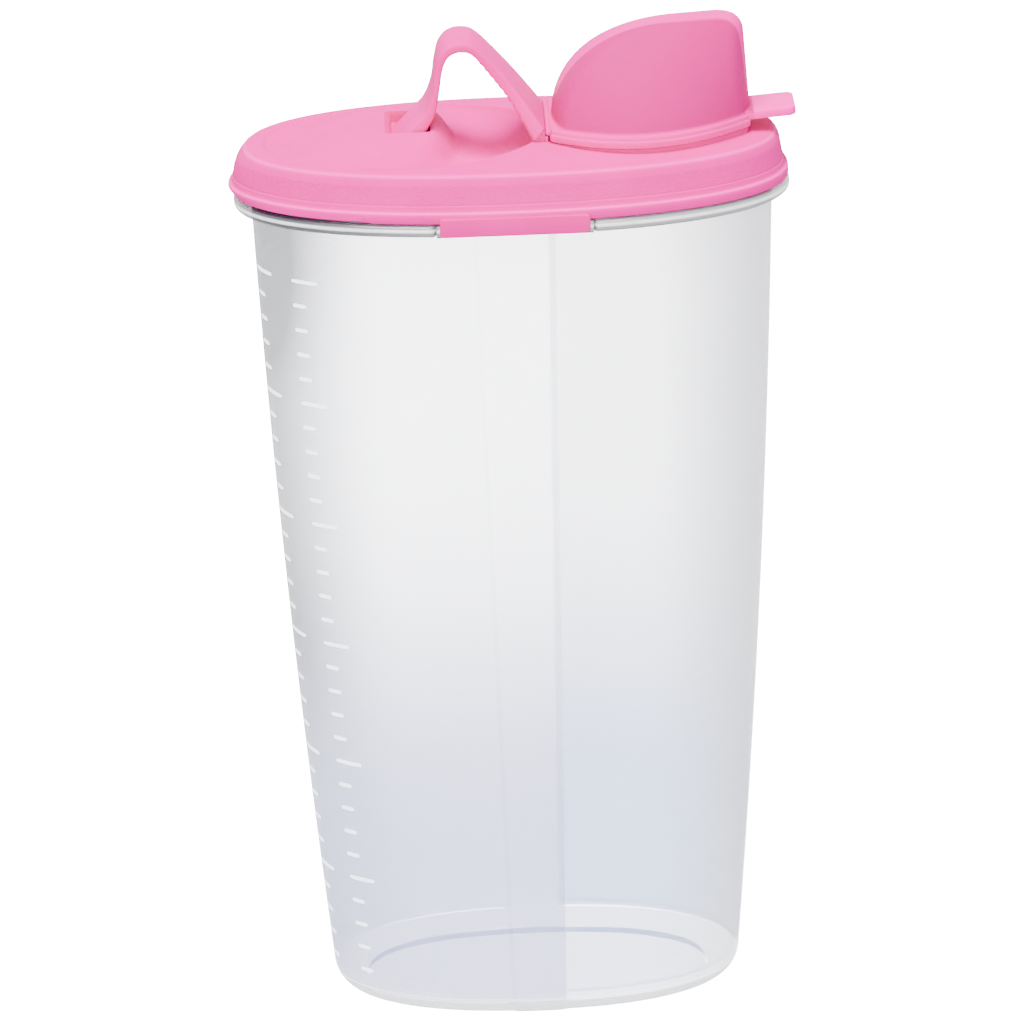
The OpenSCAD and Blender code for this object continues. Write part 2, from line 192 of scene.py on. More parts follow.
class Bench:
    """Modelling steps in edit mode, as by hand."""

    @staticmethod
    def clear() -> None:
        """Leaves edit mode and deselects everything."""
        if bpy.context.object is not None and bpy.context.object.mode != "OBJECT":
            bpy.ops.object.mode_set(mode="OBJECT")
        bpy.ops.object.select_all(action="DESELECT")

    @classmethod
    def grab(cls, piece: bpy.types.Object) -> None:
        """Makes a piece the only selected and active one."""
        cls.clear()
        piece.select_set(True)
        bpy.context.view_layer.objects.active = piece

    @staticmethod
    def pick_row(piece: bpy.types.Object, number: int) -> None:
        """Selects one row of a loft in edit mode."""
        shape = bmesh.from_edit_mesh(piece.data)
        row = shape.verts.layers.int["row"]
        for vert in shape.verts:
            vert.select = vert[row] == number
        shape.select_flush_mode()
        bmesh.update_edit_mesh(piece.data)

    @classmethod
    def close_tip(cls, piece: bpy.types.Object, number: int, tip: Tip) -> None:
        """Closes one end of a loft.

        Args:
            piece: The loft, in edit mode.
            number: Row of the end.
            tip: The kind of end.
        """
        if tip is Tip.OPEN:
            return
        cls.pick_row(piece, number)
        if tip is Tip.FACE:
            bpy.ops.mesh.edge_face_add()
        else:
            bpy.ops.mesh.merge(type="CENTER")

    @classmethod
    def loft(cls, name: str, rings: list[Ring], first: Tip = Tip.FACE, last: Tip = Tip.FACE) -> bpy.types.Object:
        """Extrudes a circle from ring to ring.

        Args:
            name: Name of the piece.
            rings: Rings with equal counts, in millimetres.
            first: How the first ring is closed.
            last: How the last ring is closed.

        Returns:
            The new piece, with its faces outwards.
        """
        cls.clear()
        bpy.ops.mesh.primitive_circle_add(vertices=len(rings[0]), radius=0.01, location=(0, 0, 0))
        piece = bpy.context.object
        piece.name = piece.data.name = name
        bpy.ops.object.mode_set(mode="EDIT")
        bpy.ops.mesh.select_mode(type="VERT")
        bpy.ops.mesh.select_all(action="SELECT")
        shape = bmesh.from_edit_mesh(piece.data)
        shape.verts.layers.int.new("place")
        shape.verts.layers.int.new("row")
        place = shape.verts.layers.int["place"]
        for index, vert in enumerate(shape.verts):
            vert[place] = index
            vert.co = Vector(rings[0][index]) * MM
        bmesh.update_edit_mesh(piece.data)
        for number, ring in enumerate(rings[1:], 1):
            bpy.ops.mesh.extrude_region()
            shape = bmesh.from_edit_mesh(piece.data)
            place, row = shape.verts.layers.int["place"], shape.verts.layers.int["row"]
            for vert in shape.verts:
                if vert.select:
                    vert[row] = number
                    vert.co = Vector(ring[vert[place]]) * MM
            bmesh.update_edit_mesh(piece.data)
        cls.close_tip(piece, 0, first)
        cls.close_tip(piece, len(rings) - 1, last)
        bpy.ops.mesh.select_all(action="SELECT")
        bpy.ops.mesh.remove_doubles(threshold=1e-6)
        bpy.ops.mesh.normals_make_consistent(inside=False)
        bpy.ops.object.mode_set(mode="OBJECT")
        for layer in ("place", "row"):
            piece.data.attributes.remove(piece.data.attributes[layer])
        return piece

    @classmethod
    def slab(cls, name: str, low: Point, high: Point, corner: float, edge: float, axis: int = 2) -> bpy.types.Object:
        """Block with rounded corners about one axis and softened edges.

        Args:
            name: Name of the piece.
            low: Lowest corner in millimetres.
            high: Highest corner in millimetres.
            corner: Radius of the corners about the axis.
            edge: Radius of all other edges.
            axis: Axis that the corners turn about.

        Returns:
            The new piece.
        """
        cls.clear()
        bpy.ops.mesh.primitive_cube_add(size=2, location=(0, 0, 0))
        piece = bpy.context.object
        piece.name = piece.data.name = name
        bpy.ops.object.mode_set(mode="EDIT")
        bpy.ops.mesh.select_all(action="SELECT")
        half = [(h - l) / 2 * MM for l, h in zip(low, high)]
        bpy.ops.transform.resize(value=half)
        bpy.ops.transform.translate(value=[(h + l) / 2 * MM for l, h in zip(low, high)])
        if corner > 0:
            cls.pick_edges(piece, axis)
            bpy.ops.mesh.bevel(offset=corner * MM, segments=8, affect="EDGES")
        bpy.ops.mesh.select_all(action="DESELECT")
        bpy.ops.mesh.select_mode(type="EDGE")
        bpy.ops.mesh.edges_select_sharp(sharpness=math.radians(50))
        bpy.ops.mesh.bevel(offset=edge * MM, segments=3, affect="EDGES")
        bpy.ops.object.mode_set(mode="OBJECT")
        return piece

    @staticmethod
    def pick_edges(piece: bpy.types.Object, axis: int) -> None:
        """Selects the edges that run along one axis, in edit mode."""
        bpy.ops.mesh.select_mode(type="EDGE")
        shape = bmesh.from_edit_mesh(piece.data)
        for edge in shape.edges:
            along = (edge.verts[0].co - edge.verts[1].co).normalized()
            edge.select = abs(along[axis]) > 0.99
        shape.select_flush_mode()
        bmesh.update_edit_mesh(piece.data)

    @classmethod
    def apply(cls, piece: bpy.types.Object, kind: str, **settings: object) -> None:
        """Adds a modifier with its settings and applies it.

        Args:
            piece: The piece.
            kind: Blender's type of the modifier.
            **settings: Values of the modifier's own fields.
        """
        cls.grab(piece)
        step = piece.modifiers.new(kind.lower(), kind)
        for key, value in settings.items():
            setattr(step, key, value)
        bpy.ops.object.modifier_apply(modifier=step.name)

    @classmethod
    def cut(cls, piece: bpy.types.Object, tool: bpy.types.Object) -> None:
        """Takes a tool's form away from a piece and removes the tool."""
        cls.apply(piece, "BOOLEAN", operation="DIFFERENCE", solver="EXACT", object=tool)
        bpy.data.objects.remove(tool)

    @classmethod
    def join(cls, name: str, parts: Iterable[bpy.types.Object]) -> bpy.types.Object:
        """Joins parts into one piece.

        Args:
            name: Name of the joined piece.
            parts: The parts.

        Returns:
            The joined piece.
        """
        parts = list(parts)
        cls.clear()
        for part in parts:
            part.select_set(True)
        bpy.context.view_layer.objects.active = parts[0]
        bpy.ops.object.join()
        parts[0].name = parts[0].data.name = name
        return parts[0]

    @classmethod
    def smooth(cls, piece: bpy.types.Object, angle: float = 40.0) -> None:
        """Shades a piece smooth, apart from edges sharper than the angle in degrees."""
        cls.grab(piece)
        bpy.ops.object.shade_smooth_by_angle(angle=math.radians(angle))

    @classmethod
    def settle(cls, piece: bpy.types.Object, body: Body, slot: Slot, finish: bpy.types.Material) -> bpy.types.Object:
        """Puts a finished piece at the origin, on its body and in its finish.

        Args:
            piece: The piece.
            body: The body that carries it.
            slot: The record's material slot.
            finish: Its material.

        Returns:
            The piece.
        """
        cls.grab(piece)
        bpy.ops.object.transform_apply(location=True, rotation=True, scale=True)
        piece.data.materials.clear()
        piece.data.materials.append(finish)
        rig.ride(piece, body.value)
        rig.slot(piece, slot.value)
        LOG.info("%s: %d faces on %s", piece.name, len(piece.data.polygons), body.value)
        return piece


class Sock:
    """Output of a shader node that takes part in sums."""

    def __init__(self, graph: "Graph", socket: bpy.types.NodeSocket) -> None:
        """Keeps the graph and the socket."""
        self.graph = graph
        self.socket = socket

    def _sum(self, operation: str, *terms: "Sock | float") -> "Sock":
        """Adds a Math node over the terms."""
        return self.graph.node("ShaderNodeMath", {"operation": operation}, dict(enumerate(terms)))

    def __add__(self, other: "Sock | float") -> "Sock":
        """Sum."""
        return self._sum("ADD", self, other)

    def __radd__(self, other: float) -> "Sock":
        """Sum with a number in front."""
        return self._sum("ADD", other, self)

    def __sub__(self, other: "Sock | float") -> "Sock":
        """Difference."""
        return self._sum("SUBTRACT", self, other)

    def __rsub__(self, other: float) -> "Sock":
        """Difference from a number."""
        return self._sum("SUBTRACT", other, self)

    def __mul__(self, other: "Sock | float") -> "Sock":
        """Product."""
        return self._sum("MULTIPLY", self, other)

    def __rmul__(self, other: float) -> "Sock":
        """Product with a number in front."""
        return self._sum("MULTIPLY", other, self)

    def __truediv__(self, other: "Sock | float") -> "Sock":
        """Quotient."""
        return self._sum("DIVIDE", self, other)

    def size(self) -> "Sock":
        """Absolute value."""
        return self._sum("ABSOLUTE", self)

    def power(self, exponent: float) -> "Sock":
        """Power."""
        return self._sum("POWER", self, exponent)

    def most(self, other: "Sock | float") -> "Sock":
        """The greater of two values."""
        return self._sum("MAXIMUM", self, other)

    def step(self, low: float, high: float) -> "Sock":
        """Smooth step from 0 at low to 1 at high.

        Args:
            low: Value where the step starts.
            high: Value where it ends.

        Returns:
            The step's value.
        """
        return self.graph.node(
            "ShaderNodeMapRange",
            {"interpolation_type": "SMOOTHSTEP"},
            {"Value": self, "From Min": low, "From Max": high, "To Min": 0.0, "To Max": 1.0},
        )


class Graph:
    """Nodes of one material."""

    def __init__(self, name: str) -> None:
        """Starts an empty material.

        Args:
            name: Name of the material.
        """
        self.material = bpy.data.materials.new(name)
        self.material.use_nodes = True
        self.tree = self.material.node_tree
        self.tree.nodes.clear()

    def node(self, kind: str, settings: dict[str, object], inputs: dict[str | int, object], out: str | int = 0) -> Sock:
        """Adds a node.

        Args:
            kind: Blender's type of the node.
            settings: Values of the node's own fields, set first.
            inputs: Values or links of its sockets.
            out: The output that is used.

        Returns:
            That output.
        """
        made = self.tree.nodes.new(kind)
        for key, value in settings.items():
            setattr(made, key, value)
        for key, value in inputs.items():
            if isinstance(value, Sock):
                self.tree.links.new(value.socket, made.inputs[key])
            else:
                made.inputs[key].default_value = value
        return Sock(self, made.outputs[out])

    def place(self) -> Sock:
        """Object coordinates, in metres."""
        return self.node("ShaderNodeTexCoord", {}, {}, "Object")

    def axes(self) -> tuple[Sock, Sock, Sock]:
        """X, Y and Z of the object coordinates."""
        split = self.tree.nodes.new("ShaderNodeSeparateXYZ")
        self.tree.links.new(self.place().socket, split.inputs[0])
        return tuple(Sock(self, out) for out in split.outputs)

    def noise(self, scale: float, detail: float = 2.0, stretch: Point = (1, 1, 1)) -> Sock:
        """Noise of a given fineness.

        Args:
            scale: Waves per metre.
            detail: Number of finer layers.
            stretch: Factors on X, Y and Z.

        Returns:
            Noise from 0 to 1.
        """
        spot = self.node("ShaderNodeMapping", {}, {"Vector": self.place(), "Scale": stretch})
        return self.node("ShaderNodeTexNoise", {}, {"Vector": spot, "Scale": scale, "Detail": detail})

    def blend(self, share: Sock | float, one: object, two: object) -> Sock:
        """Mix of two colours.

        Args:
            share: Share of the second.
            one: First colour or link.
            two: Second colour or link.

        Returns:
            The mixed colour.
        """
        return self.node("ShaderNodeMix", {"data_type": "RGBA"}, {0: share, 6: one, 7: two}, 2)

    def bump(self, height: Sock, depth: float, strength: float = 1.0) -> Sock:
        """Normal from a height.

        Args:
            height: Height from 0 to 1.
            depth: Depth in metres.
            strength: Strength of the bump.

        Returns:
            The bent normal.
        """
        return self.node("ShaderNodeBump", {}, {"Height": height, "Distance": depth, "Strength": strength})

    def finish(self, inputs: dict[str | int, object]) -> bpy.types.Material:
        """Ends the material in a Principled shader.

        Args:
            inputs: Values or links of its sockets.

        Returns:
            The material.
        """
        shader = self.node("ShaderNodeBsdfPrincipled", {}, inputs)
        self.node_out(shader)
        return self.material

    def node_out(self, shader: Sock) -> None:
        """Links a shader to the material's output."""
        end = self.tree.nodes.new("ShaderNodeOutputMaterial")
        self.tree.links.new(shader.socket, end.inputs["Surface"])


Colour = tuple[float, float, float, float]


def mix(share: Sock, one: Sock | float, two: Sock | float) -> Sock:
    """Value between two others."""
    return one + (two - one) * share


@dataclass(frozen=True)
class FrostedPlastic:
    """Milky plastic of the tub: frosted on the left and the spine, clear on the right, darker and bluer towards the
    bottom; painted shade greys both ends and the foot, and painted highlight lines mark the floor.
    """

    frosted: Colour = (0.82, 0.86, 1.0, 1)
    window: Colour = (0.84, 0.88, 1.0, 1)
    low_frosted: Colour = (0.38, 0.42, 0.78, 1)
    low_window: Colour = (0.33, 0.51, 1.0, 1)
    # Black that the left end's painted shade and the darker line along the spine's edge blend towards.
    dark: Colour = (0.0, 0.0, 0.0, 1)
    # Painted shade: greyer tones that the right end is blended towards, upper and lower.
    right_shade_tone: Colour = (0.46, 0.47, 0.52, 1)
    low_right_shade_tone: Colour = (0.66, 0.67, 0.71, 1)
    # Painted shade: grey-blue tone of the foot where the wall turns under.
    foot_shade_tone: Colour = (0.62, 0.64, 0.72, 1)
    # Painted highlight: white of the light lines at the floor's height and on its inner corner.
    highlight_tone: Colour = (1.0, 1.0, 1.0, 1)
    # Strength of the painted shade at the left and right ends; the losses cut how much of the white behind shows
    # through there.
    left_shade: float = 0.9
    most_painted_left_shade: float = 0.9
    right_shade: float = 0.8
    left_loss: float = 0.65
    right_loss: float = 0.5
    frosted_front: float = 0.6
    frosted_back: float = 0.55
    window_front: float = 0.35
    window_back: float = 0.75
    low_frosted_front: float = 0.7
    low_frosted_back: float = 0.82
    low_window_front: float = 0.4
    low_window_back: float = 0.885
    foot_cover: float = 0.8
    # Painted highlight: extra cover of the light ring on the floor's inner corner.
    highlight_cover: float = 0.35
    inner_cover: float = 0.06
    spine_half_foot: float = 9.0
    spine_half_top: float = 13.5
    foot_half: Point = (71.0, 43.0, 0.0)
    rim_half: Point = (89.0, 44.5, 0.0)
    foot_top: float = 6.2
    height: float = 288.6

    def make(self) -> bpy.types.Material:
        """Builds the material."""
        g = Graph("frosted_plastic")
        x, y, z = g.axes()
        up = z / (self.height * MM)
        rise = up * 1.5 - up * up * 0.5
        half_x, half_y = (low * MM + rise * ((high - low) * MM) for low, high in zip(self.foot_half[:2], self.rim_half))
        along = x / half_x
        outline = along.size().power(2.28) + (y / half_y).size().power(2.28)
        foot = 1 - z.step((self.foot_top - 0.3) * MM, (self.foot_top + 0.2) * MM)
        sunk = z.step(0.3 * MM, 0.5 * MM) * (1 - z.step(2.6 * MM, 2.8 * MM)) * (1 - outline.step(0.69, 0.72))
        sunk = sunk * y.step(-0.005, 0.005)
        outer = outline.step(0.965, 0.985).most(foot) * (1 - sunk)
        edge = self.spine_half_foot * MM + up * ((self.spine_half_top - self.spine_half_foot) * MM)
        clear = (x - edge).step(-0.0004, 0.0006)
        # A darker line along the spine's left edge.
        spine_edge_line = 1 - (x + edge).size().step(0.0003, 0.0012)
        # Painted shade: the left end darkens towards its edge, most at the top under the rim.
        leftness = 1 - along.step(-1.1, -0.5)
        painted_left_shade = leftness * (0.2 + up.step(0.2, 0.5) * 0.7 + up.step(0.75, 0.95) * 0.5)
        painted_left_shade = 1 - (1 - painted_left_shade).most(1 - self.most_painted_left_shade)
        rightness = along.step(0.45, 1.0)
        lowness = 1 - up.step(0.2, 0.65)
        grain = g.noise(1500, 3)
        cloud = g.noise(14, 2, (1, 1, 0.35))
        base = g.blend(clear, g.blend(lowness, self.frosted, self.low_frosted),
                       g.blend(lowness, self.window, self.low_window))
        # Painted shade: the right end is blended towards grey.
        right_shade_colour = g.blend(lowness, self.right_shade_tone, self.low_right_shade_tone)
        base = g.blend(rightness * self.right_shade, base, right_shade_colour)
        base = g.blend(painted_left_shade * self.left_shade + spine_edge_line * 0.12, base, self.dark)
        # Painted shade on the foot where the wall turns under.
        base = g.blend(foot, base, self.foot_shade_tone)
        # Painted highlights: a light line round the tub at the floor's height, and a light ring on the floor's inner
        # corner behind the clear window.
        line = z.step(6.6 * MM, 7.0 * MM) * (1 - z.step(7.4 * MM, 7.9 * MM))
        ring = z.step(8.2 * MM, 8.7 * MM) * (1 - z.step(9.3 * MM, 9.8 * MM)) * (1 - outer) * clear
        base = g.blend((line * 0.7).most(ring), base, self.highlight_tone)
        front = mix(lowness, mix(clear, self.frosted_front, self.window_front),
                    mix(clear, self.low_frosted_front, self.low_window_front))
        rear = mix(lowness, mix(clear, self.frosted_back, self.window_back),
                   mix(clear, self.low_frosted_back, self.low_window_back))
        # See-through share; the painted shade at both ends lets less of the white behind through.
        see = (1 - mix(y.step(-0.005, 0.005), front, rear)) * (1 - painted_left_shade * self.left_loss)
        see = see * (1 - rightness * (1 - lowness * 0.35) * self.right_loss) - (cloud - 0.5) * 0.06
        cover = mix(foot, 1 - see, self.foot_cover)
        frost = 1 - clear
        return g.finish(
            {
                "Base Color": base,
                "Roughness": 0.2 + frost * 0.35 + (grain - 0.5) * 0.08,
                "Alpha": mix(outer, self.inner_cover + ring * self.highlight_cover, cover),
                "Normal": g.bump(grain * frost, 0.0004, 0.35),
                "Specular IOR Level": 0.3,
                "IOR": 1.49,
            }
        )


@dataclass(frozen=True)
class ClearBead:
    """Glossy clear plastic of the rim, painted grey: painted shade below and towards the left end, and a painted
    highlight line along its roundness.
    """

    # Painted shade on the bead's underside.
    dark: Colour = (0.05, 0.05, 0.07, 1)
    # Painted shade: the bead's grey is near black at the left end and lighter at the right.
    shaded_left_grey: Colour = (0.045, 0.045, 0.06, 1)
    right_grey: Colour = (0.28, 0.28, 0.29, 1)
    # Painted highlight of the light line along the bead.
    light: Colour = (0.93, 0.94, 0.98, 1)
    low: float = 288.6

    def band(self, z: Sock, start: float, end: float) -> Sock:
        """Step over two heights above the bead's underside."""
        return z.step((self.low + start) * MM, (self.low + end) * MM)

    def make(self) -> bpy.types.Material:
        """Builds the material."""
        g = Graph("clear_bead")
        x, _, z = g.axes()
        # Painted shade: darker towards the left end and on the underside.
        painted_shade_grey = g.blend(x.step(-0.085, 0.0), self.shaded_left_grey, self.right_grey)
        body = g.blend(self.band(z, 0.5, 1.1), self.dark, painted_shade_grey)
        # Painted highlight: the light line along the bead.
        line = self.band(z, 1.8, 2.4) * (1 - self.band(z, 2.9, 3.5))
        swirl = g.noise(300, 2)
        return g.finish(
            {
                "Base Color": g.blend(line * (0.55 + swirl * 0.45), body, self.light),
                "Roughness": 0.1 + (swirl - 0.5) * 0.05,
                "Alpha": 0.9 - swirl * 0.06,
                "Normal": g.bump(swirl, 0.0003, 0.15),
                "Coat Weight": 0.5,
                "Coat Roughness": 0.05,
                "IOR": 1.49,
            }
        )


@dataclass(frozen=True)
class PinkPlastic:
    """Soft pink moulded plastic, satin or glossy, with a grained band; it can carry painted highlight lines, painted
    light in the dish and on the thumb tab, and painted shade on the hood's sides.
    """

    name: str
    colour: Colour
    roughness: float
    grain_from: float = 0.0
    grain_to: float = 0.0
    grain_depth: float = 0.0
    glow: float = 0.1
    shine: float = 0.03
    # Painted highlight colour for the deck's edge crease and the lip's rib.
    light: Colour = (1.0, 0.05, 0.48, 1)
    # Painted light: lighter pink for the deep part of the dish, which otherwise falls into shade.
    hollow: Colour | None = None
    deck_half: tuple[float, float] = (88.4, 45.1)
    # Painted light: lighter pink for the thumb tab, where the hood shades it.
    tip: Colour | None = None
    lit_tip_from: float = 82.3
    # Painted shade: deeper pink for the hood's sides from this height up, apart from a lit strip along its roof.
    hood: Colour | None = None
    hood_shade_from: float = 316.4
    lit_ridge: float = 4.6
    lit_ridge_from: float = 322.0

    def make(self) -> bpy.types.Material:
        """Builds the material."""
        g = Graph(self.name)
        x, y, z = g.axes()
        cloud = g.noise(45, 3)
        fine = g.noise(900, 2)
        deep = tuple(c * 0.94 for c in self.colour[:3]) + (1.0,)
        base = g.blend(cloud.step(0.3, 0.7), self.colour, deep)
        # Painted shade on the hood's sides; the strip along the roof stays in the lighter, lit pink.
        if self.hood is not None:
            lit_roof_strip = 1 - y.size().step(self.lit_ridge * MM, (self.lit_ridge + 0.8) * MM)
            lit_roof_strip = lit_roof_strip * z.step(self.lit_ridge_from * MM, (self.lit_ridge_from + 6) * MM)
            base = g.blend(z.step(self.hood_shade_from * MM, (self.hood_shade_from + 1.2) * MM) * (1 - lit_roof_strip), base, self.hood)
        # Painted light: the deep part of the dish is lightened.
        if self.hollow is not None:
            plan = (x / (self.deck_half[0] * MM)).size().power(2.28) + (y / (self.deck_half[1] * MM)).size().power(2.28)
            base = g.blend((1 - z.step(303 * MM, 309.5 * MM)) * (1 - plan.step(0.75, 0.85)), base, self.hollow)
            # Painted highlights: a light line along the deck's edge crease and one on the lip's rib.
            crease_highlight = z.step(308.3 * MM, 308.9 * MM) * (1 - z.step(309.2 * MM, 309.7 * MM)) * plan.step(0.9, 0.95)
            rib = z.step(296.7 * MM, 297.1 * MM) * (1 - z.step(297.3 * MM, 297.6 * MM))
            base = g.blend(crease_highlight * 0.45 + rib * 0.5, base, self.light)
        # Painted light on the thumb tab.
        if self.tip is not None:
            base = g.blend(x.step(self.lit_tip_from * MM, (self.lit_tip_from + 1.2) * MM), base, self.tip)
        inputs: dict[str | int, object] = {
            "Base Color": base,
            "Roughness": self.roughness + (fine - 0.5) * 0.06,
            "Subsurface Weight": self.glow,
            "Subsurface Radius": (1.0, 0.35, 0.5),
            "Subsurface Scale": 0.003,
            "Specular IOR Level": self.shine,
            "IOR": 1.49,
        }
        if self.grain_depth > 0:
            band = z.step(self.grain_from * MM, (self.grain_from + 0.6) * MM)
            band = band * (1 - z.step((self.grain_to - 1.5) * MM, self.grain_to * MM))
            pits = g.noise(1300, 3)
            inputs["Roughness"] = self.roughness + band * 0.12 + (fine - 0.5) * 0.06
            inputs["Normal"] = g.bump(pits * band + fine * 0.05, self.grain_depth * MM, 0.8)
        else:
            inputs["Normal"] = g.bump(fine, 0.00005, 0.25)
        return g.finish(inputs)


@dataclass(frozen=True)
class WhitePrint:
    """White ink of the fill scale, glowing by emission as painted light so it stays bright on the grey wall."""

    ink: Colour = (0.96, 0.96, 1.0, 1)
    worn: Colour = (0.88, 0.89, 0.97, 1)

    def make(self) -> bpy.types.Material:
        """Builds the material."""
        g = Graph("white_print")
        speck = g.noise(1800, 3)
        return g.finish(
            {
                "Base Color": g.blend(speck.step(0.35, 0.75), self.ink, self.worn),
                "Roughness": 0.45 + (speck - 0.5) * 0.1,
                "Alpha": 0.92 - (speck - 0.5) * 0.12,
                # Painted light: the ink glows so that it stands out brighter than its lighting gives.
                "Emission Color": self.ink,
                "Emission Strength": 1.9,
            }
        )


@dataclass
class Tub:
    """Tall oval tub with its rim bead, spine and fill scale."""

    height: float = 304.0
    length: float = 178.0
    depth: float = 89.0
    foot_length: float = 142.0
    foot_depth: float = 86.0
    bow: float = 0.5
    foot_round: float = 9.0
    wall: float = 1.8
    floor_top: float = 7.5
    floor_sunk: float = 6.8
    floor_under: float = 3.0
    floor_round: float = 2.6
    spine_top: float = 27.0
    spine_foot: float = 18.0
    spine_out: float = 0.8
    rim_length: float = 190.0
    rim_depth: float = 101.0
    rim_low: float = 288.6
    rim_thick: float = 4.6
    rim_gap: float = 54.0
    around: int = 256
    ticks: int = 30
    top_tick: float = 268.8
    tick_pitch: float = 8.78
    major_every: int = 5
    major: float = 10.0
    minor: float = 5.2
    tick_thick: float = 1.25
    column_angle: float = 212.7
    end_angle: float = 188.0

    def rise(self, z: float) -> float:
        """Share of the way from foot to rim, bowed outwards."""
        t = min(z, self.rim_low) / self.rim_low
        return t + self.bow * t * (1 - t)

    def half_length(self, z: float) -> float:
        """Half length of the wall at a height."""
        return self.foot_length / 2 + (self.length - self.foot_length) / 2 * self.rise(z)

    def half_depth(self, z: float) -> float:
        """Half depth of the wall at a height."""
        return self.foot_depth / 2 + (self.depth - self.foot_depth) / 2 * self.rise(z)

    def spine(self, x: float, z: float) -> float:
        """How far the spine stands out at a point."""
        half = (self.spine_foot + (self.spine_top - self.spine_foot) * min(1, z / self.rim_low)) / 2
        return self.spine_out * ease((half - abs(x)) / 1.6)

    def ring(self, z: float, inset: float, spined: bool) -> Ring:
        """Ring of the wall.

        Args:
            z: Height.
            inset: How far the ring lies inside the wall's outside.
            spined: True where the spine shows.

        Returns:
            The ring's points.
        """
        found: Ring = []
        for i in range(self.around):
            q = 360 * i / self.around - 17 * math.sin(math.radians(720 * i / self.around))
            x, y = oval(self.half_length(z) - inset, self.half_depth(z) - inset, q)
            out = self.spine(x, z) if spined else 0.0
            found.append((x, y + math.copysign(out, y) if abs(y) > 1 else y, z))
        return found

    def shell(self) -> bpy.types.Object:
        """Wall, foot and raised floor as one closed shell."""
        r, rings = self.foot_round, []
        rings.append(self.ring(self.floor_under, 14, False))
        rings.append(self.ring(self.floor_under - 0.2, 11.6, False))
        rings.append(self.ring(0.2, 10.6, False))
        for i in range(9):
            q = math.radians(90 * i / 8)
            rings.append(self.ring(r * (1 - math.cos(q)), r * (1 - math.sin(q)), True))
        for i in range(1, 15):
            rings.append(self.ring(r + (self.rim_low - r) * i / 14, 0, True))
        rings.append(self.ring(self.rim_low + 0.8, 0, False))
        rings.append(self.ring(self.height - 0.6, 0, False))
        rings.append(self.ring(self.height, 0.6, False))
        rings.append(self.ring(self.height, self.wall - 0.6, False))
        rings.append(self.ring(self.height - 0.6, self.wall, False))
        low = self.floor_top + self.floor_round
        for i in range(15):
            rings.append(self.ring(self.height - 2 - (self.height - 2 - low) * i / 14, self.wall, False))
        for i in range(1, 7):
            q = math.radians(90 * i / 6)
            z = low - self.floor_round * math.sin(q)
            rings.append(self.ring(z, self.wall + self.floor_round * (1 - math.cos(q)), False))
        for z, inset in ((self.floor_top, 5.3), (self.floor_top - 0.15, 5.6), (self.floor_sunk + 0.1, 5.8),
                         (self.floor_sunk, 6.2)):
            rings.append(self.ring(z, self.wall + inset, False))
        return Bench.loft("tub_shell", rings)

    def bead(self, side: int) -> bpy.types.Object:
        """One run of the rim bead round one end of the oval.

        Args:
            side: 1 for the right end, -1 for the left.

        Returns:
            The bead.
        """
        half = self.rim_thick / 2
        mid_z = self.rim_low + half
        reach = (self.rim_length - self.length) / 2 / 2 + 0.4
        start = self.angle_at(self.rim_gap / 2)
        rings: list[Ring] = []
        steps = 120
        for i in range(-3, steps + 4):
            share = min(1.0, max(0.0, i / steps))
            q = start + (-2 * start) * share
            shrink = math.sqrt(max(0.0, 1 - (max(-i, i - steps, 0) / 3.001) ** 2))
            ring: Ring = []
            for j in range(24):
                dr, dz = oval(reach, half, 15 * j, 2.6)
                a = self.rim_length / 2 - reach + dr * shrink
                b = self.rim_depth / 2 - reach + dr * shrink
                x, y = oval(a, b, q)
                ahead = max(-i, i - steps, 0) / 3 * 0.9
                ring.append((side * (x - ahead * math.copysign(1, 1)), y, mid_z + dz * shrink))
            rings.append(ring)
        return Bench.loft(f"bead_{'right' if side > 0 else 'left'}", rings, Tip.POLE, Tip.POLE)

    def angle_at(self, x: float) -> float:
        """Oval angle of the rim where its X is x."""
        reach = self.rim_length / 2 - 3
        return math.degrees(math.acos((x / reach) ** (2.28 / 2)))

    def pillar(self, side: int, front: int) -> bpy.types.Object:
        """Small post under the lip between a bead's end and the lift tab."""
        x = side * (self.rim_gap / 2 - 1.6)
        y = front * (self.half_depth(self.rim_low) + 2.4)
        low = (x - 1.0, y - 2.6, self.rim_low + 0.3)
        high = (x + 1.0, y + 2.6, self.rim_low + 4.3)
        return Bench.slab("pillar", low, high, 0.8, 0.3)

    def tick(self, z: float, q: float, reach: float) -> bpy.types.Object:
        """One stroke of the fill scale, laid on the wall.

        Args:
            z: Height of the stroke's middle.
            q: Oval angle where it starts.
            reach: Length along the wall, towards the front.

        Returns:
            The stroke.
        """
        rings: list[Ring] = []
        count = 7
        for i in range(count + 1):
            a, b = self.half_length(z), self.half_depth(z)
            q0 = math.radians(q)
            speed = math.hypot(a * math.sin(q0), b * math.cos(q0)) * 0.93
            angle = q + math.degrees(reach * i / count / speed)
            end = 0.72 if i in (0, count) else 1.0
            half = self.tick_thick / 2 * end
            ring: Ring = []
            for out, up in ((-0.05, -half), (0.12, -half), (0.12, half), (-0.05, half)):
                x, y = oval(self.half_length(z + up) + out, self.half_depth(z + up) + out, angle)
                ring.append((x, y, z + up))
            rings.append(ring)
        return Bench.loft("tick", rings)

    def scale(self, name: str, q: float, grow: float) -> bpy.types.Object:
        """One column of the fill scale.

        Args:
            name: Name of the column.
            q: Oval angle of the strokes' starts.
            grow: Factor on the strokes' lengths.

        Returns:
            The column.
        """
        strokes = []
        for i in range(self.ticks):
            reach = self.major if i % self.major_every == 0 else self.minor
            strokes.append(self.tick(self.top_tick - self.tick_pitch * i, q, reach * grow))
        return Bench.join(name, strokes)

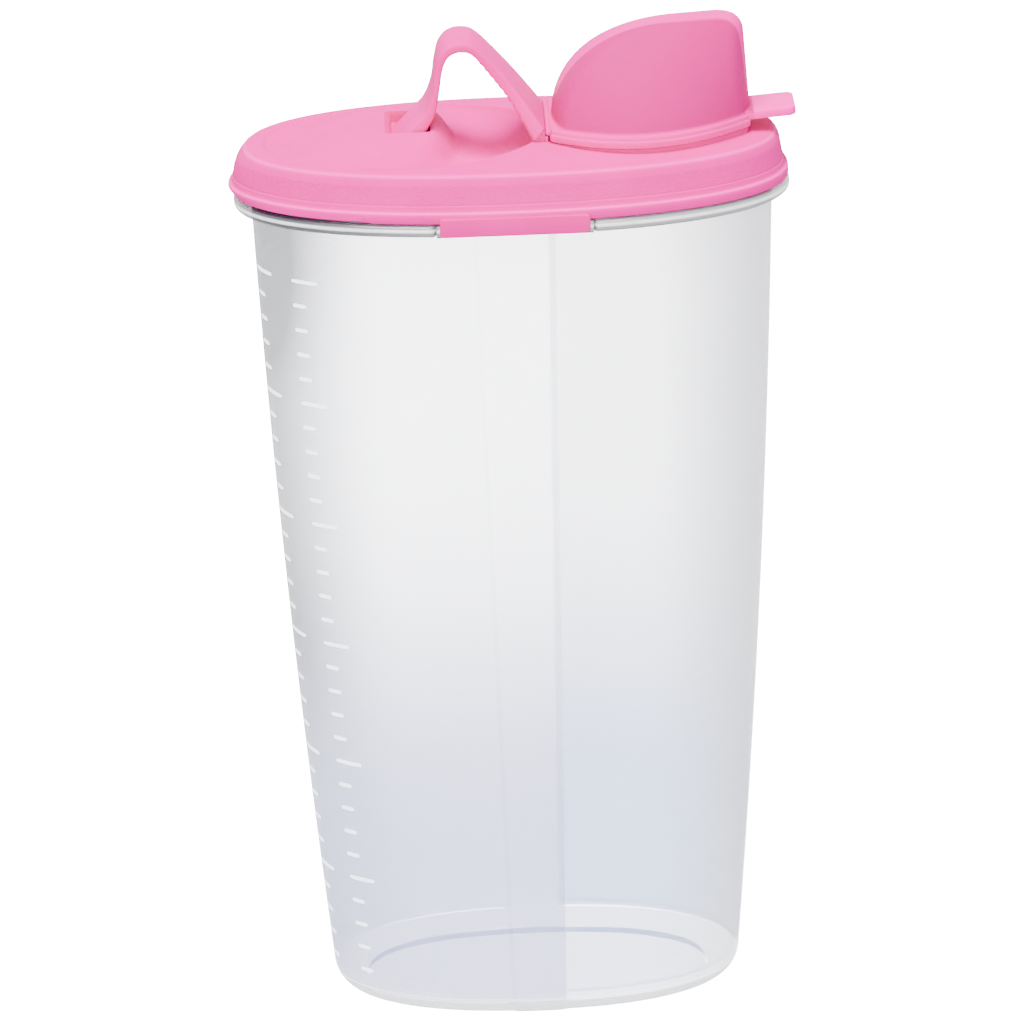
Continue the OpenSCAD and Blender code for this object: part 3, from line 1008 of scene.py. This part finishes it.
    def build(self) -> None:
        """Makes and dresses the tub's pieces."""
        frosted, bead, ink = FrostedPlastic().make(), ClearBead().make(), WhitePrint().make()
        shell = self.shell()
        Bench.smooth(shell, 45)
        Bench.settle(shell, Body.TUB, Slot.CLEAR, frosted)
        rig.replaces(shell, "tub")
        for side in (1, -1):
            run = self.bead(side)
            Bench.smooth(run, 60)
            Bench.settle(run, Body.TUB, Slot.CLEAR, bead)
        posts = Bench.join("rim_posts", [self.pillar(s, f) for s in (-1, 1) for f in (-1, 1)])
        Bench.smooth(posts, 40)
        Bench.settle(posts, Body.TUB, Slot.CLEAR, bead)
        for name, q, grow in (("scale_front", self.column_angle, 1.0), ("scale_end", self.end_angle, 1.0)):
            column = self.scale(name, q, grow)
            Bench.settle(column, Body.TUB, Slot.CLEAR, ink)


@dataclass
class Spout:
    """Plan of the spout, shared by the lid's plinth and the cap."""

    hinge_x: float = 12.8
    length: float = 69.2
    half: float = 32.4
    widest: float = 30.0
    tip_half: float = 9.8
    half_count: int = 48

    def width(self, d: float) -> float:
        """Half width at a distance from the hinge line."""
        far = self.length - self.widest
        return self.half - (self.half - self.tip_half) / (far * far) * (d - self.widest) ** 2

    def ring(self, z: float, inset: float, nose: float = 1.1, square: float = 4.0, back: float = 0.0) -> Ring:
        """Ring of the leaf-shaped outline.

        Args:
            z: Height.
            inset: How far the ring lies inside the outline.
            nose: Length over which the ends round in.
            square: Squareness of the ends.
            back: Further distance from the hinge line.

        Returns:
            The ring's points, from the middle of the hinge line round the front.
        """
        found: Ring = []
        n = self.half_count
        for i in range(2 * n):
            k = i if i < n else 2 * n - i
            u = (1 - math.cos(math.pi * k / n)) / 2
            d = inset + back + (self.length - 2 * inset - back) * u
            near = max(0.0, min(1.0, min(d - inset - back, self.length - inset - d) / nose))
            y = (self.width(d) - 1.15 * inset) * (1 - (1 - near) ** square) ** (1 / square)
            found.append((self.hinge_x + d, -y if i < n else y, z))
        return found


@dataclass
class Lid:
    """Press-fit lid: lip, grained side, domed deck with its dish, plinth and pouring collar."""

    spout: Spout
    lip: float = 293.5
    deck_z: float = 309.9
    half_length: float = 94.4
    half_depth: float = 49.9
    deck_a: float = 88.4
    deck_b: float = 45.1
    crown: float = 2.4
    wall: float = 1.8
    dish_length: float = 97.0
    dish_depth: float = 78.0
    dish_x: float = -36.2
    dish_deep: float = 10.0
    dish_shallow: float = 0.8
    dish_step: float = 0.9
    ear_out: float = 1.9
    plinth_z: float = 312.0
    collar_top: float = 316.0
    boss_x: float = -34.7
    hill_z: float = 315.6
    hill_run: float = 30.0
    hill_left: float = -46.5
    hill_right: float = -26.2
    foot_z: float = 311.3
    pocket_left: float = -42.5
    pocket_right: float = -27.0
    pocket_half: float = 13.3
    collar_in: float = 4.2
    collar_wall: float = 1.6
    collar_back: float = 1.16
    strap_end: float = 11.7
    root_half: float = 19.2
    tab_length: float = 50.4
    tab_height: float = 6.4
    tab_up: float = 2.2
    around: int = 224

    def deck(self, x: float, y: float) -> float:
        """Height of the domed deck at a point."""
        return self.deck_z + self.crown * (1 - (x / self.deck_a) ** 2 - (y / self.deck_b) ** 2)

    def side_profile(self) -> list[Point]:
        """Half axes and height of the side's rings, from the lip up to the deck's edge."""
        a, b, z = self.half_length, self.half_depth, self.lip
        steps = [(-1.6, 0.0), (-0.35, 0.0), (0.1, 0.25), (0.3, 0.8), (0.3, 2.6), (0.2, 3.2), (-0.1, 3.75),
                 (-0.55, 4.05), (-0.95, 4.15), (-1.08, 4.35), (-1.12, 5.5), (-1.2, 5.8), (-1.42, 5.95),
                 (-1.5, 6.2), (-1.65, 7.2), (-1.9, 8.8)]
        profile = [(a + out, b + out, z + up) for out, up in steps]
        rise_a, rise_b, low = a - 2.3 - self.deck_a, b - 2.3 - self.deck_b, self.deck_z - 5.6
        for i in range(1, 11):
            q = math.radians(9 * i)
            profile.append((self.deck_a + rise_a * math.cos(q), self.deck_b + rise_b * math.cos(q),
                            low + 5.6 * math.sin(q)))
        return profile

    def side_ring(self, a: float, b: float, z: float) -> Ring:
        """Ring of the side, with the bulge at its left end and the shorter lip there."""
        found: Ring = []
        up = (z - self.lip) / (self.deck_z - self.lip)
        for i in range(self.around):
            q = 360 * i / self.around
            x, y = oval(a, b, q)
            bulge = self.ear_out * ease(1 - abs(q - 180) / 36) * ease(up / 0.15) * ease((1 - up) / 0.45)
            lift = 0.45 * ease((62 - abs(q - 180)) / 1.5) * (1 - ease(up / 0.06))
            found.append((x - bulge, y, z + lift))
        return found

    def deck_rings(self) -> list[Ring]:
        """Rings over the deck and down into the dish, drawn closer at the dish's edge."""
        rings: list[Ring] = []
        for share in (0.03, 0.12, 0.25, 0.4, 0.55, 0.7, 0.82, 0.9, 0.95):
            rings.append([self.between(360 * i / self.around, share) for i in range(self.around)])
        spread = [self.toward(360 * i / self.around) for i in range(self.around)]
        sizes = [1.012, 1.007, 1.004, 1.002, 1.0, 0.997, 0.992, 0.984, 0.97, 0.95, 0.92]
        sizes += [0.92 - 0.035 * k for k in range(1, 15)]
        sizes += [0.42 - 0.015 * k for k in range(26)]
        for s in sizes:
            ring: Ring = []
            for q in spread:
                x, y = oval(s * self.dish_length / 2, s * self.dish_depth / 2, q, 2)
                x += self.dish_x
                low = self.deck(x, y) - self.drop(x, s)
                ring.append((x, y, low + (self.hill_z - low) * self.hill(x, y)))
            rings.append(ring)
        return rings

    def between(self, q: float, share: float) -> Point:
        """Point on the deck between its edge and the dish."""
        xo, yo = oval(self.deck_a, self.deck_b, q)
        xi, yi = oval(1.012 * self.dish_length / 2, 1.012 * self.dish_depth / 2, self.toward(q), 2)
        xi += self.dish_x
        x, y = xo + (xi - xo) * share, yo + (yi - yo) * share
        return x, y, self.deck(x, y)

    def toward(self, q: float) -> float:
        """Angle on the dish's outline that faces the deck's edge at angle q."""
        x, y = oval(self.deck_a, self.deck_b, q)
        return math.degrees(math.atan2(y / self.dish_depth, (x - self.dish_x) / self.dish_length))

    def drop(self, x: float, s: float) -> float:
        """How deep the dish lies below the dome.

        Args:
            x: Place along the lid.
            s: Share of the dish's outline.

        Returns:
            The depth.
        """
        deep = self.dish_shallow + (self.dish_deep - self.dish_shallow) * ease(
            (x - self.dish_x - 5) / 29)
        hollow = 1 - s**4
        step = self.dish_step * ease((1 - s) * self.dish_length / 2 / 1.3)
        return deep * 0.5 * (hollow + math.sqrt(hollow * hollow + 0.0002)) + step

    def hill(self, x: float, y: float) -> float:
        """Share of the swelling that carries the strap's foot, 1 on its flat top and 0 outside it."""
        low, high = 0.0, self.hill_run
        if self.on_hill(x, y, low):
            return 1.0
        if not self.on_hill(x, y, high):
            return 0.0
        for _ in range(20):
            out = (low + high) / 2
            if self.on_hill(x, y, out):
                high = out
            else:
                low = out
        return ease(1 - high / self.hill_run)

    def on_hill(self, x: float, y: float, out: float) -> bool:
        """True inside the swelling's outline at a distance from its top."""
        n = 4 - 1.7 * out / self.hill_run
        right, left = self.hill_right + 0.3 * out, self.hill_left - 0.95 * out
        across = abs(2 * x - right - left) / (right - left)
        return across**n + (abs(y) / (16.5 + 0.64 * out)) ** n <= 1

    def shell(self) -> bpy.types.Object:
        """Side, deck and dish with the spout's hole."""
        rings = [self.side_ring(*row) for row in self.side_profile()]
        skin = Bench.loft("lid_shell", rings + self.deck_rings(), Tip.OPEN, Tip.POLE)
        self.face_up(skin)
        Bench.apply(skin, "SOLIDIFY", thickness=self.wall * MM, offset=-1, use_even_offset=True)
        inset = self.collar_in + self.collar_wall / 2
        levels = (self.deck_z - 9, self.deck_z + 9)
        hole = Bench.loft("hole", [self.spout.ring(z, inset, 4.0, 2.0, self.collar_back) for z in levels])
        Bench.cut(skin, hole)
        levels = (self.foot_z + 0.7, self.hill_z + 4)
        Bench.cut(skin, Bench.loft("pocket", [self.pocket_ring(self.ramp(z), z) for z in levels]))
        return skin

    def ramp(self, z: float) -> float:
        """X of the pocket's sloping left wall at a height."""
        return self.pocket_left - 0.82 * (z - self.hill_z)

    def pocket_ring(self, left: float, z: float, grow: float = 0.0, corner: float = 0.7) -> Ring:
        """Ring of the pocket for the strap's foot.

        Args:
            left: X of its left side.
            z: Height.
            grow: How far the ring lies outside the pocket.
            corner: Radius of its corners.

        Returns:
            The ring's points.
        """
        x0, x1, half = left - grow, self.pocket_right + grow, self.pocket_half + grow
        found: Ring = []
        for k, (cx, cy) in enumerate(((x1, half), (x0, half), (x0, -half), (x1, -half))):
            cx, cy = cx - math.copysign(corner, cx - (x0 + x1) / 2), cy - math.copysign(corner, cy)
            for i in range(6):
                q = math.radians(90 * k + 18 * i)
                found.append((cx + corner * math.cos(q), cy + corner * math.sin(q), z))
        return found

    @staticmethod
    def face_up(skin: bpy.types.Object) -> None:
        """Turns an open skin's faces so that the deck looks up."""
        up = sum(face.normal.z * face.area for face in skin.data.polygons)
        if up < 0:
            skin.data.flip_normals()

    def plinth(self) -> bpy.types.Object:
        """Low plinth with the pouring collar, as one closed moulding."""
        low, top, rim = self.deck_z - 2.0, self.plinth_z, self.collar_top
        out = self.collar_in
        rows = [(low, 1.0), (top - 0.5, 1.0), (top - 0.15, 1.15), (top, 1.5), (top, out - 0.3), (top + 0.2, out - 0.05),
                (top + 0.6, out), (rim - 0.6, out + 0.05), (rim - 0.15, out + 0.25), (rim, out + 0.6),
                (rim, out + 1.0), (rim - 0.15, out + 1.35), (rim - 0.6, out + self.collar_wall),
                (low, out + self.collar_wall)]
        rings = []
        for z, inset in rows:
            flat = inset < 2
            rings.append(self.spout.ring(z, inset, 1.1 if flat else 4.0, 4.0 if flat else 2.4,
                                         0.0 if flat else self.collar_back))
        return Bench.loft("spout_plinth", rings + [rings[0]], Tip.OPEN, Tip.OPEN)

    def root_pad(self) -> bpy.types.Object:
        """Pad under the strap's right foot."""
        low = (self.strap_end - 4.6, -self.root_half, self.deck_z - 2.5)
        high = (self.strap_end + 2.0, self.root_half, self.plinth_z)
        return Bench.slab("strap_pad", low, high, 1.2, 0.4)

    def sill(self) -> bpy.types.Object:
        """Sill between the strap's right foot and the cap, under the hinge roll."""
        low = (self.strap_end - 0.1, 0.2 - self.root_half, self.plinth_z - 0.5)
        return Bench.slab("hinge_sill", low, (self.strap_end + 1.0, self.root_half - 0.2, self.plinth_z + 2.0), 0, 0.2)

    def pocket(self) -> bpy.types.Object:
        """Cup under the deck for the strap's left foot, with its ramp on the left."""
        top, knee, floor = self.hill_z - 1.3, self.foot_z + 1.7, self.foot_z
        rows = [(self.ramp(knee), floor - 1.5, 1.5), (self.ramp(knee), knee - 1.0, 1.5), (self.ramp(top), top, 1.5),
                (self.ramp(top), top, 0.05), (self.ramp(knee), knee, 0.05), (self.ramp(knee), floor + 0.3, 0.05),
                (self.ramp(knee), floor, -0.25)]
        return Bench.loft("foot_pocket", [self.pocket_ring(left, z, grow) for left, z, grow in rows])

    def plug(self) -> bpy.types.Object:
        """Ring that closes inside the tub's mouth."""
        a, b, t = 86.9, 42.4, 1.4
        rows = [(a, b, 307), (a, b, 294), (a - 0.4, b - 0.4, 293.1), (a - t + 0.4, b - t + 0.4, 293.1),
                (a - t, b - t, 294), (a - t, b - t, 307)]
        rings = [[(*oval(ra, rb, 360 * i / 128), z) for i in range(128)] for ra, rb, z in rows]
        return Bench.loft("lid_plug", rings + [rings[0]], Tip.OPEN, Tip.OPEN)

    def lift_tab(self, side: int) -> bpy.types.Object:
        """Lift tab in one gap of the rim."""
        y = side * (self.half_depth + 0.9)
        z = self.lip + self.tab_up
        low = (-self.tab_length / 2, min(y, y - 2.2 * side), z - self.tab_height)
        high = (self.tab_length / 2, max(y, y - 2.2 * side), z)
        return Bench.slab(f"lift_tab_{'front' if side < 0 else 'back'}", low, high, 1.3, 0.35, 1)

    def build(self) -> None:
        """Makes and dresses the lid's pieces."""
        # The satin carries painted highlights on the deck's crease and lip rib and painted light in the dish's deep
        # part.
        satin = PinkPlastic("lid_satin", (0.70, 0.001, 0.255, 1), 0.55, 299.6, 307.2, 0.25,
                            hollow=(0.95, 0.004, 0.37, 1)).make()
        smooth = PinkPlastic("lid_smooth", (0.66, 0.001, 0.235, 1), 0.5).make()
        shell = self.shell()
        Bench.smooth(shell, 35)
        Bench.settle(shell, Body.LID, Slot.PINK, satin)
        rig.replaces(shell, "lid")
        for piece in (self.plinth(), self.root_pad(), self.sill(), self.pocket(), self.plug(), self.lift_tab(-1), self.lift_tab(1)):
            Bench.smooth(piece, 40)
            Bench.settle(piece, Body.LID, Slot.PINK, smooth)


@dataclass
class Strap:
    """Arched carrying strap from the boss to the hinge line."""

    boss_x: float = -34.7
    foot_z: float = 311.3
    top: float = 345.9
    half: float = 12.0
    foot_half: float = 12.8
    root_half: float = 19.2
    thick: float = 4.0
    end_x: float = 11.7
    plinth_z: float = 312.0
    steps: int = 16
    groove: float = 0.7
    groove_end: float = 1.9
    ribs_from: float = 8.3
    ribs_to: float = 10.5
    rib: float = 0.2

    def keys(self) -> list[tuple[float, float, float, float, float]]:
        """Outer X and Z, inner X and Z and half width at each key, from the left foot to the root."""
        x, z, top, t = self.boss_x, self.foot_z, self.top, self.thick
        return [
            (x - 5, z, x + 5, z, self.foot_half),
            (x + 0.4, z + 5.2, x + 7.4, z + 5, self.foot_half),
            (x + 5.6, z + 10.5, x + 9.7, z + 9.6, self.foot_half),
            (x + 8.4, top - 17.5, x + 11.3, top - 17.5, (self.foot_half + self.half) / 2),
            (x + 9.6, top - 10.5, x + 12.5, top - 10.7, self.half),
            (x + 11.2, top - 4.6, x + 14, top - 6.7, self.half),
            (x + 14.4, top - 1.1, x + 16, top - t - 0.7, self.half),
            (x + 19.2, top, x + 19.3, top - t, self.half),
            (x + 24.3, top - 1.8, x + 23, top - t - 1.5, self.half),
            (-2.2, top - 10.4, -5.6, top - 13.1, self.half + 0.6),
            (4.6, top - 19, 0.6, top - 21.6, self.half + 3),
            (self.end_x, self.plinth_z + 4.9, self.end_x - 4.6, self.plinth_z, self.root_half),
        ]

    def station(self, k: int, t: float) -> list[float]:
        """Values on a smooth curve between two keys.

        Args:
            k: The key before.
            t: Share of the way to the next.

        Returns:
            The five values.
        """
        keys = self.keys()
        a, b, c, d = keys[max(0, k - 1)], keys[k], keys[k + 1], keys[min(len(keys) - 1, k + 2)]
        return [
            0.5 * (2 * q + (r - p) * t + (2 * p - 5 * q + 4 * r - s) * t**2 + (3 * q - 3 * r + s - p) * t**3)
            for p, q, r, s in zip(a, b, c, d)
        ]

    @staticmethod
    def section() -> list[tuple[float, float]]:
        """Rounded section as shares of its half width and half thickness, drawn closer at the groove."""
        turns = [7.5 * i for i in range(48) if abs(7.5 * i - 90) > 12]
        turns += [math.degrees(math.acos(math.copysign(abs(c) ** 2.75, c))) for c in (0.4, 0.1, 0.05, 0, -0.05, -0.1, -0.4)]
        return [oval(1, 1, q, 5.5) for q in sorted(turns)]

    def ring(self, row: list[float], place: float) -> Ring:
        """Rounded section at one station, with the groove at the foot and ribs under the grip.

        Args:
            row: Values of the station.
            place: Its place along the keys.

        Returns:
            The ring's points.
        """
        ox, oz, ix, iz, half = row
        deep = self.groove * ease((self.groove_end - place) / 0.25)
        if self.ribs_from < place < self.ribs_to and int(place * self.steps / 2) % 2:
            length = math.hypot(ox - ix, oz - iz)
            ix, iz = ix - self.rib * (ox - ix) / length, iz - self.rib * (oz - iz) / length
        thick = math.hypot(ox - ix, oz - iz)
        found: Ring = []
        for across, up in self.section():
            if up > 0 and abs(across) < 0.03:
                up -= 2 * deep / thick
            found.append(((ox + ix) / 2 + (ox - ix) / 2 * up, half * across, (oz + iz) / 2 + (oz - iz) / 2 * up))
        return found

    def build(self) -> None:
        """Makes and dresses the strap."""
        gloss = PinkPlastic("strap_gloss", (0.70, 0.001, 0.25, 1), 0.5).make()
        last = len(self.keys()) - 1
        rings = [self.ring(self.station(k, t / self.steps), k + t / self.steps)
                 for k in range(last) for t in range(self.steps)]
        rings.append(self.ring(list(self.keys()[last]), last))
        strap = Bench.loft("handle_strap", rings)
        Bench.smooth(strap, 50)
        Bench.settle(strap, Body.LID, Slot.PINK, gloss)
        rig.replaces(strap, "handle")
        low = (self.end_x - 4.4, -self.root_half + 1, self.plinth_z)
        wedge = Bench.slab("strap_root", low, (self.end_x, self.root_half - 1, self.plinth_z + 4.6), 0, 0.3)
        self.slope(wedge)
        Bench.smooth(wedge, 40)
        Bench.settle(wedge, Body.LID, Slot.PINK, gloss)

    def slope(self, wedge: bpy.types.Object) -> None:
        """Cuts the root block along the strap's slope."""
        Bench.grab(wedge)
        bpy.ops.object.mode_set(mode="EDIT")
        bpy.ops.mesh.select_all(action="SELECT")
        bpy.ops.mesh.bisect(
            plane_co=((self.end_x - 4.3) * MM, 0, self.plinth_z * MM),
            plane_no=(-4.9, 0, 4.6),
            clear_outer=True,
            use_fill=True,
        )
        bpy.ops.object.mode_set(mode="OBJECT")


@dataclass
class Cap:
    """Flip cap: stepped flange, hollow hood, thumb tab and hinge roll."""

    spout: Spout
    flange_z: float = 312.3
    flange_top: float = 316.3
    ledge: float = 1.6
    hood: float = 32.4
    top_half: float = 4.6
    back: float = 38.0
    lean: float = 2.0
    wall: float = 1.7
    thumb: float = 15.4
    thumb_thick: float = 3.1
    thumb_low: float = 2.0
    thumb_lean: float = 4.0
    thumb_corner: float = 2.8
    hinge_r: float = 1.0
    roll_half: float = 19.1
    corner: float = 6.0
    nose: float = 5.0

    def hood_ring(self, q: float, wall: float, trim: float = 0.0, lift: float = 0.0) -> Ring:
        """Ring of the hood.

        Args:
            q: Angle up the rounded back in degrees.
            wall: Wall taken off, 0 outside.
            trim: Further inset of the ring, for soft edges.
            lift: Further height.

        Returns:
            The ring's points.
        """
        t = math.sin(math.radians(q))
        top = self.hood - wall
        tip_x = self.spout.hinge_x + self.spout.length
        x0 = self.spout.hinge_x + self.ledge + wall + self.back * (1 - math.cos(math.radians(q))) + trim
        over = max(0.0, t * top - top + self.corner)
        round_in = self.corner - math.sqrt(max(0.0, self.corner**2 - over**2))
        x1 = tip_x - wall - self.lean * t - round_in * 0.9 - trim
        n, found = self.spout.half_count, []
        for i in range(2 * n):
            k = i if i < n else 2 * n - i
            u = (1 - math.cos(math.pi * k / n)) / 2
            x = x0 + (x1 - x0) * u
            w0 = self.spout.width(x - self.spout.hinge_x) - 1.15 * self.ledge
            w = self.top_half + (w0 - self.top_half) * (1 - t**1.3) - wall - trim
            near = max(0.0, min(1.0, min(x - x0, x1 - x) / self.nose))
            y = w * math.sqrt(1 - (1 - near) ** 2)
            z = self.flange_top + t * (top + 0.05 * (x - self.spout.hinge_x - self.back)) + lift
            found.append((x, -y if i < n else y, z))
        return found

    def shell(self) -> bpy.types.Object:
        """Hood and flange as one hollow moulding."""
        low, top = self.flange_z, self.flange_top
        rings = [self.hood_ring(90, 0, 0.7, 0.0), self.hood_ring(89.5, 0, 0.25, -0.04)]
        rings += [self.hood_ring(90 - 2.5 * k, 0) for k in range(1, 36)]
        rings += [self.hood_ring(0.6, 0, -0.12), self.hood_ring(0, 0, -0.35)]
        rows = [(top, 1.2), (top - 0.1, 0.85), (top - 0.4, 0.64), (low + 2.55, 0.6), (low + 2.42, 0.45),
                (low + 2.36, 0.25), (low + 2.2, 0.06), (low + 1.9, 0.0), (low + 0.5, 0.0), (low + 0.15, 0.12),
                (low, 0.4), (low, 2.8), (low + 0.3, 3.3)]
        rings += [self.spout.ring(z, inset) for z, inset in rows]
        rings += [self.hood_ring(0, self.wall)]
        rings += [self.hood_ring(q, self.wall) for q in range(3, 91, 3)]
        return Bench.loft("cap_shell", rings)

    def thumb_tab(self) -> bpy.types.Object:
        """Tab for the thumb, leaning up."""
        x = self.spout.hinge_x + self.spout.length - 2
        outline = self.tab_outline(self.spout.tip_half, self.thumb_corner)
        z0 = self.flange_top - self.thumb_low
        z1 = z0 + self.thumb_thick
        rows = [(0.5, z0), (0.15, z0 + 0.15), (0, z0 + 0.5), (0, z1 - 0.6), (0.18, z1 - 0.18), (0.6, z1)]
        rings = [[(x + px - inset * nx, py - inset * ny, z) for px, py, nx, ny in outline] for inset, z in rows]
        tab = Bench.loft("thumb_tab", rings)
        turn = Matrix.Rotation(math.radians(-self.thumb_lean), 4, "Y")
        pivot = Matrix.Translation(Vector((x, 0, z0)) * MM)
        tab.data.transform(pivot @ turn @ pivot.inverted())
        return tab

    def tab_outline(self, half: float, corner: float) -> list[tuple[float, float, float, float]]:
        """Plan of the thumb tab with its outward directions.

        Args:
            half: Half width.
            corner: Radius of the two far corners.

        Returns:
            X, Y and the outward direction of each point.
        """
        reach = self.thumb + 2
        found = [(0.0, -half, 0.0, -1.0)]
        for side, start in ((-1, -90), (1, 0)):
            for i in range(9):
                q = math.radians(start + 90 * i / 8)
                centre_y = side * (half - corner)
                found.append((reach - corner + corner * math.cos(q), centre_y + corner * math.sin(q), math.cos(q),
                              math.sin(q)))
        found.append((0.0, half, 0.0, 1.0))
        return found

    def hinge_roll(self) -> bpy.types.Object:
        """Rolled edge along the hinge line."""
        z = self.flange_top - self.hinge_r
        rows = [(-self.roll_half, 0.75), (-self.roll_half + 0.15, 0.95), (-self.roll_half + 0.4, 1.0)]
        rows += [(-y, r) for y, r in reversed(rows)]
        rings = []
        for y, share in rows:
            ring = []
            for i in range(32):
                q = math.radians(360 * i / 32)
                ring.append((self.spout.hinge_x + share * self.hinge_r * math.cos(q), y,
                             z + share * self.hinge_r * math.sin(q)))
            rings.append(ring)
        return Bench.loft("hinge_roll", rings)

    def build(self) -> None:
        """Makes and dresses the cap's pieces."""
        # The cap's pink carries painted light on the thumb tab and painted shade on the hood's sides, leaving the roof
        # strip lit.
        gloss = PinkPlastic("cap_gloss", (0.74, 0.002, 0.27, 1), 0.45, tip=(0.86, 0.004, 0.34, 1),
                            hood=(0.43, 0.0, 0.142, 1)).make()
        shell = self.shell()
        Bench.smooth(shell, 40)
        Bench.settle(shell, Body.CAP, Slot.PINK, gloss)
        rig.replaces(shell, "flip_cap")
        for piece in (self.thumb_tab(), self.hinge_roll()):
            Bench.smooth(piece, 45)
            Bench.settle(piece, Body.CAP, Slot.PINK, gloss)


@dataclass(frozen=True)
class Softbox:
    """Area light of the studio."""

    name: str
    spot: Point
    aim: Point
    size: float
    power: float
    colour: Point = (1, 1, 1)

    def place(self) -> None:
        """Adds the light."""
        lamp = bpy.data.lights.new(self.name, "AREA")
        lamp.shape = "DISK"
        lamp.size, lamp.energy, lamp.color = self.size, self.power, self.colour
        holder = bpy.data.objects.new(self.name, lamp)
        bpy.context.scene.collection.objects.link(holder)
        holder.location = self.spot
        look = Vector(self.aim) - Vector(self.spot)
        holder.rotation_euler = look.to_track_quat("-Z", "Y").to_euler()


@dataclass
class Studio:
    """Pale floor, soft lights, white room and the camera at the photograph's angle."""

    yaw: float = 0.014958
    pitch: float = 0.343429
    roll: float = -0.033779
    distance: float = 2350.52
    focal_pixels: float = 6765.18
    target: Point = (-3.558, 0.0, 173.118)
    frame: float = 1024.0
    sensor: float = 36.0
    room: float = 1.7
    white: float = 24.0

    def camera(self) -> None:
        """Makes the camera and hands it to the scene."""
        ahead = Vector((math.sin(self.yaw) * math.cos(self.pitch), math.cos(self.yaw) * math.cos(self.pitch),
                        -math.sin(self.pitch)))
        right = Vector((math.cos(self.yaw), -math.sin(self.yaw), 0))
        up = right.cross(ahead)
        across = math.cos(self.roll) * right + math.sin(self.roll) * up
        above = -math.sin(self.roll) * right + math.cos(self.roll) * up
        data = bpy.data.cameras.new("photo_camera")
        data.sensor_width = self.sensor
        data.lens = self.focal_pixels * self.sensor / self.frame
        data.clip_start, data.clip_end = 0.05, 50
        camera = bpy.data.objects.new("photo_camera", data)
        bpy.context.scene.collection.objects.link(camera)
        spot = (Vector(self.target) - self.distance * ahead) * MM
        turn = Matrix((across, above, -ahead)).transposed().to_4x4()
        camera.matrix_world = Matrix.Translation(spot) @ turn
        bpy.context.scene.camera = camera

    def world(self) -> None:
        """White room all round."""
        world = bpy.data.worlds.new("white_room")
        world.use_nodes = True
        back = world.node_tree.nodes["Background"]
        back.inputs["Color"].default_value = (1, 1, 1, 1)
        back.inputs["Strength"].default_value = self.room
        bpy.context.scene.world = world

    def floor(self) -> None:
        """Wide pale floor under the foot and a white dome far behind it."""
        Bench.clear()
        bpy.ops.mesh.primitive_plane_add(size=60, location=(0, 0, -0.0002))
        ground = bpy.context.object
        ground.name = "floor"
        bpy.ops.mesh.primitive_uv_sphere_add(segments=48, ring_count=24, radius=30, location=(0, 0, 0))
        dome = bpy.context.object
        dome.name = "dome"
        g = Graph("studio_white")
        cloud = g.noise(0.5, 1)
        pale = g.blend(cloud, (0.99, 0.99, 0.99, 1), (1, 1, 1, 1))
        paint = g.finish({"Base Color": (0, 0, 0, 1), "Roughness": 1.0, "Specular IOR Level": 0.0,
                          "Emission Color": pale, "Emission Strength": self.white})
        for thing in (ground, dome):
            thing.data.materials.append(paint)
            thing.visible_diffuse = thing.visible_glossy = thing.visible_transmission = False
            thing.visible_shadow = False
            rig.stage(thing)

    def build(self) -> None:
        """Sets up the studio."""
        self.camera()
        self.world()
        self.floor()
        for light in (
            Softbox("top_softbox", (-0.1, -0.35, 1.7), (0, 0, 0.25), 1.0, 75),
            Softbox("front_softbox", (-0.3, -2.0, 0.4), (0, 0, 0.2), 1.3, 48),
        ):
            light.place()


def clear_factory(keep: Iterable[bpy.types.Object]) -> None:
    """Removes what the empty file starts with.

    Args:
        keep: Objects that stay.
    """
    kept = set(keep)
    for thing in list(bpy.data.objects):
        if thing not in kept:
            bpy.data.objects.remove(thing)


def main() -> None:
    """Builds the looks and writes the two boxes."""
    logging.basicConfig(level=logging.INFO, format="%(name)s: %(message)s")
    clear_factory([*frame["nodes"].values(), *frame["bodies"].values()])
    cad_box = [list(corner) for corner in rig.bounds()]
    LOG.info("view transform %s", bpy.context.scene.view_settings.view_transform)
    spout = Spout()
    Studio().build()
    Tub().build()
    Lid(spout).build()
    Strap().build()
    Cap(spout).build()
    Bench.clear()
    visual_box = [list(corner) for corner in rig.bounds()]
    with open("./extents.json", "w") as file:
        json.dump({"cad": cad_box, "visual": visual_box}, file)


if __name__ == "__main__":
    main()
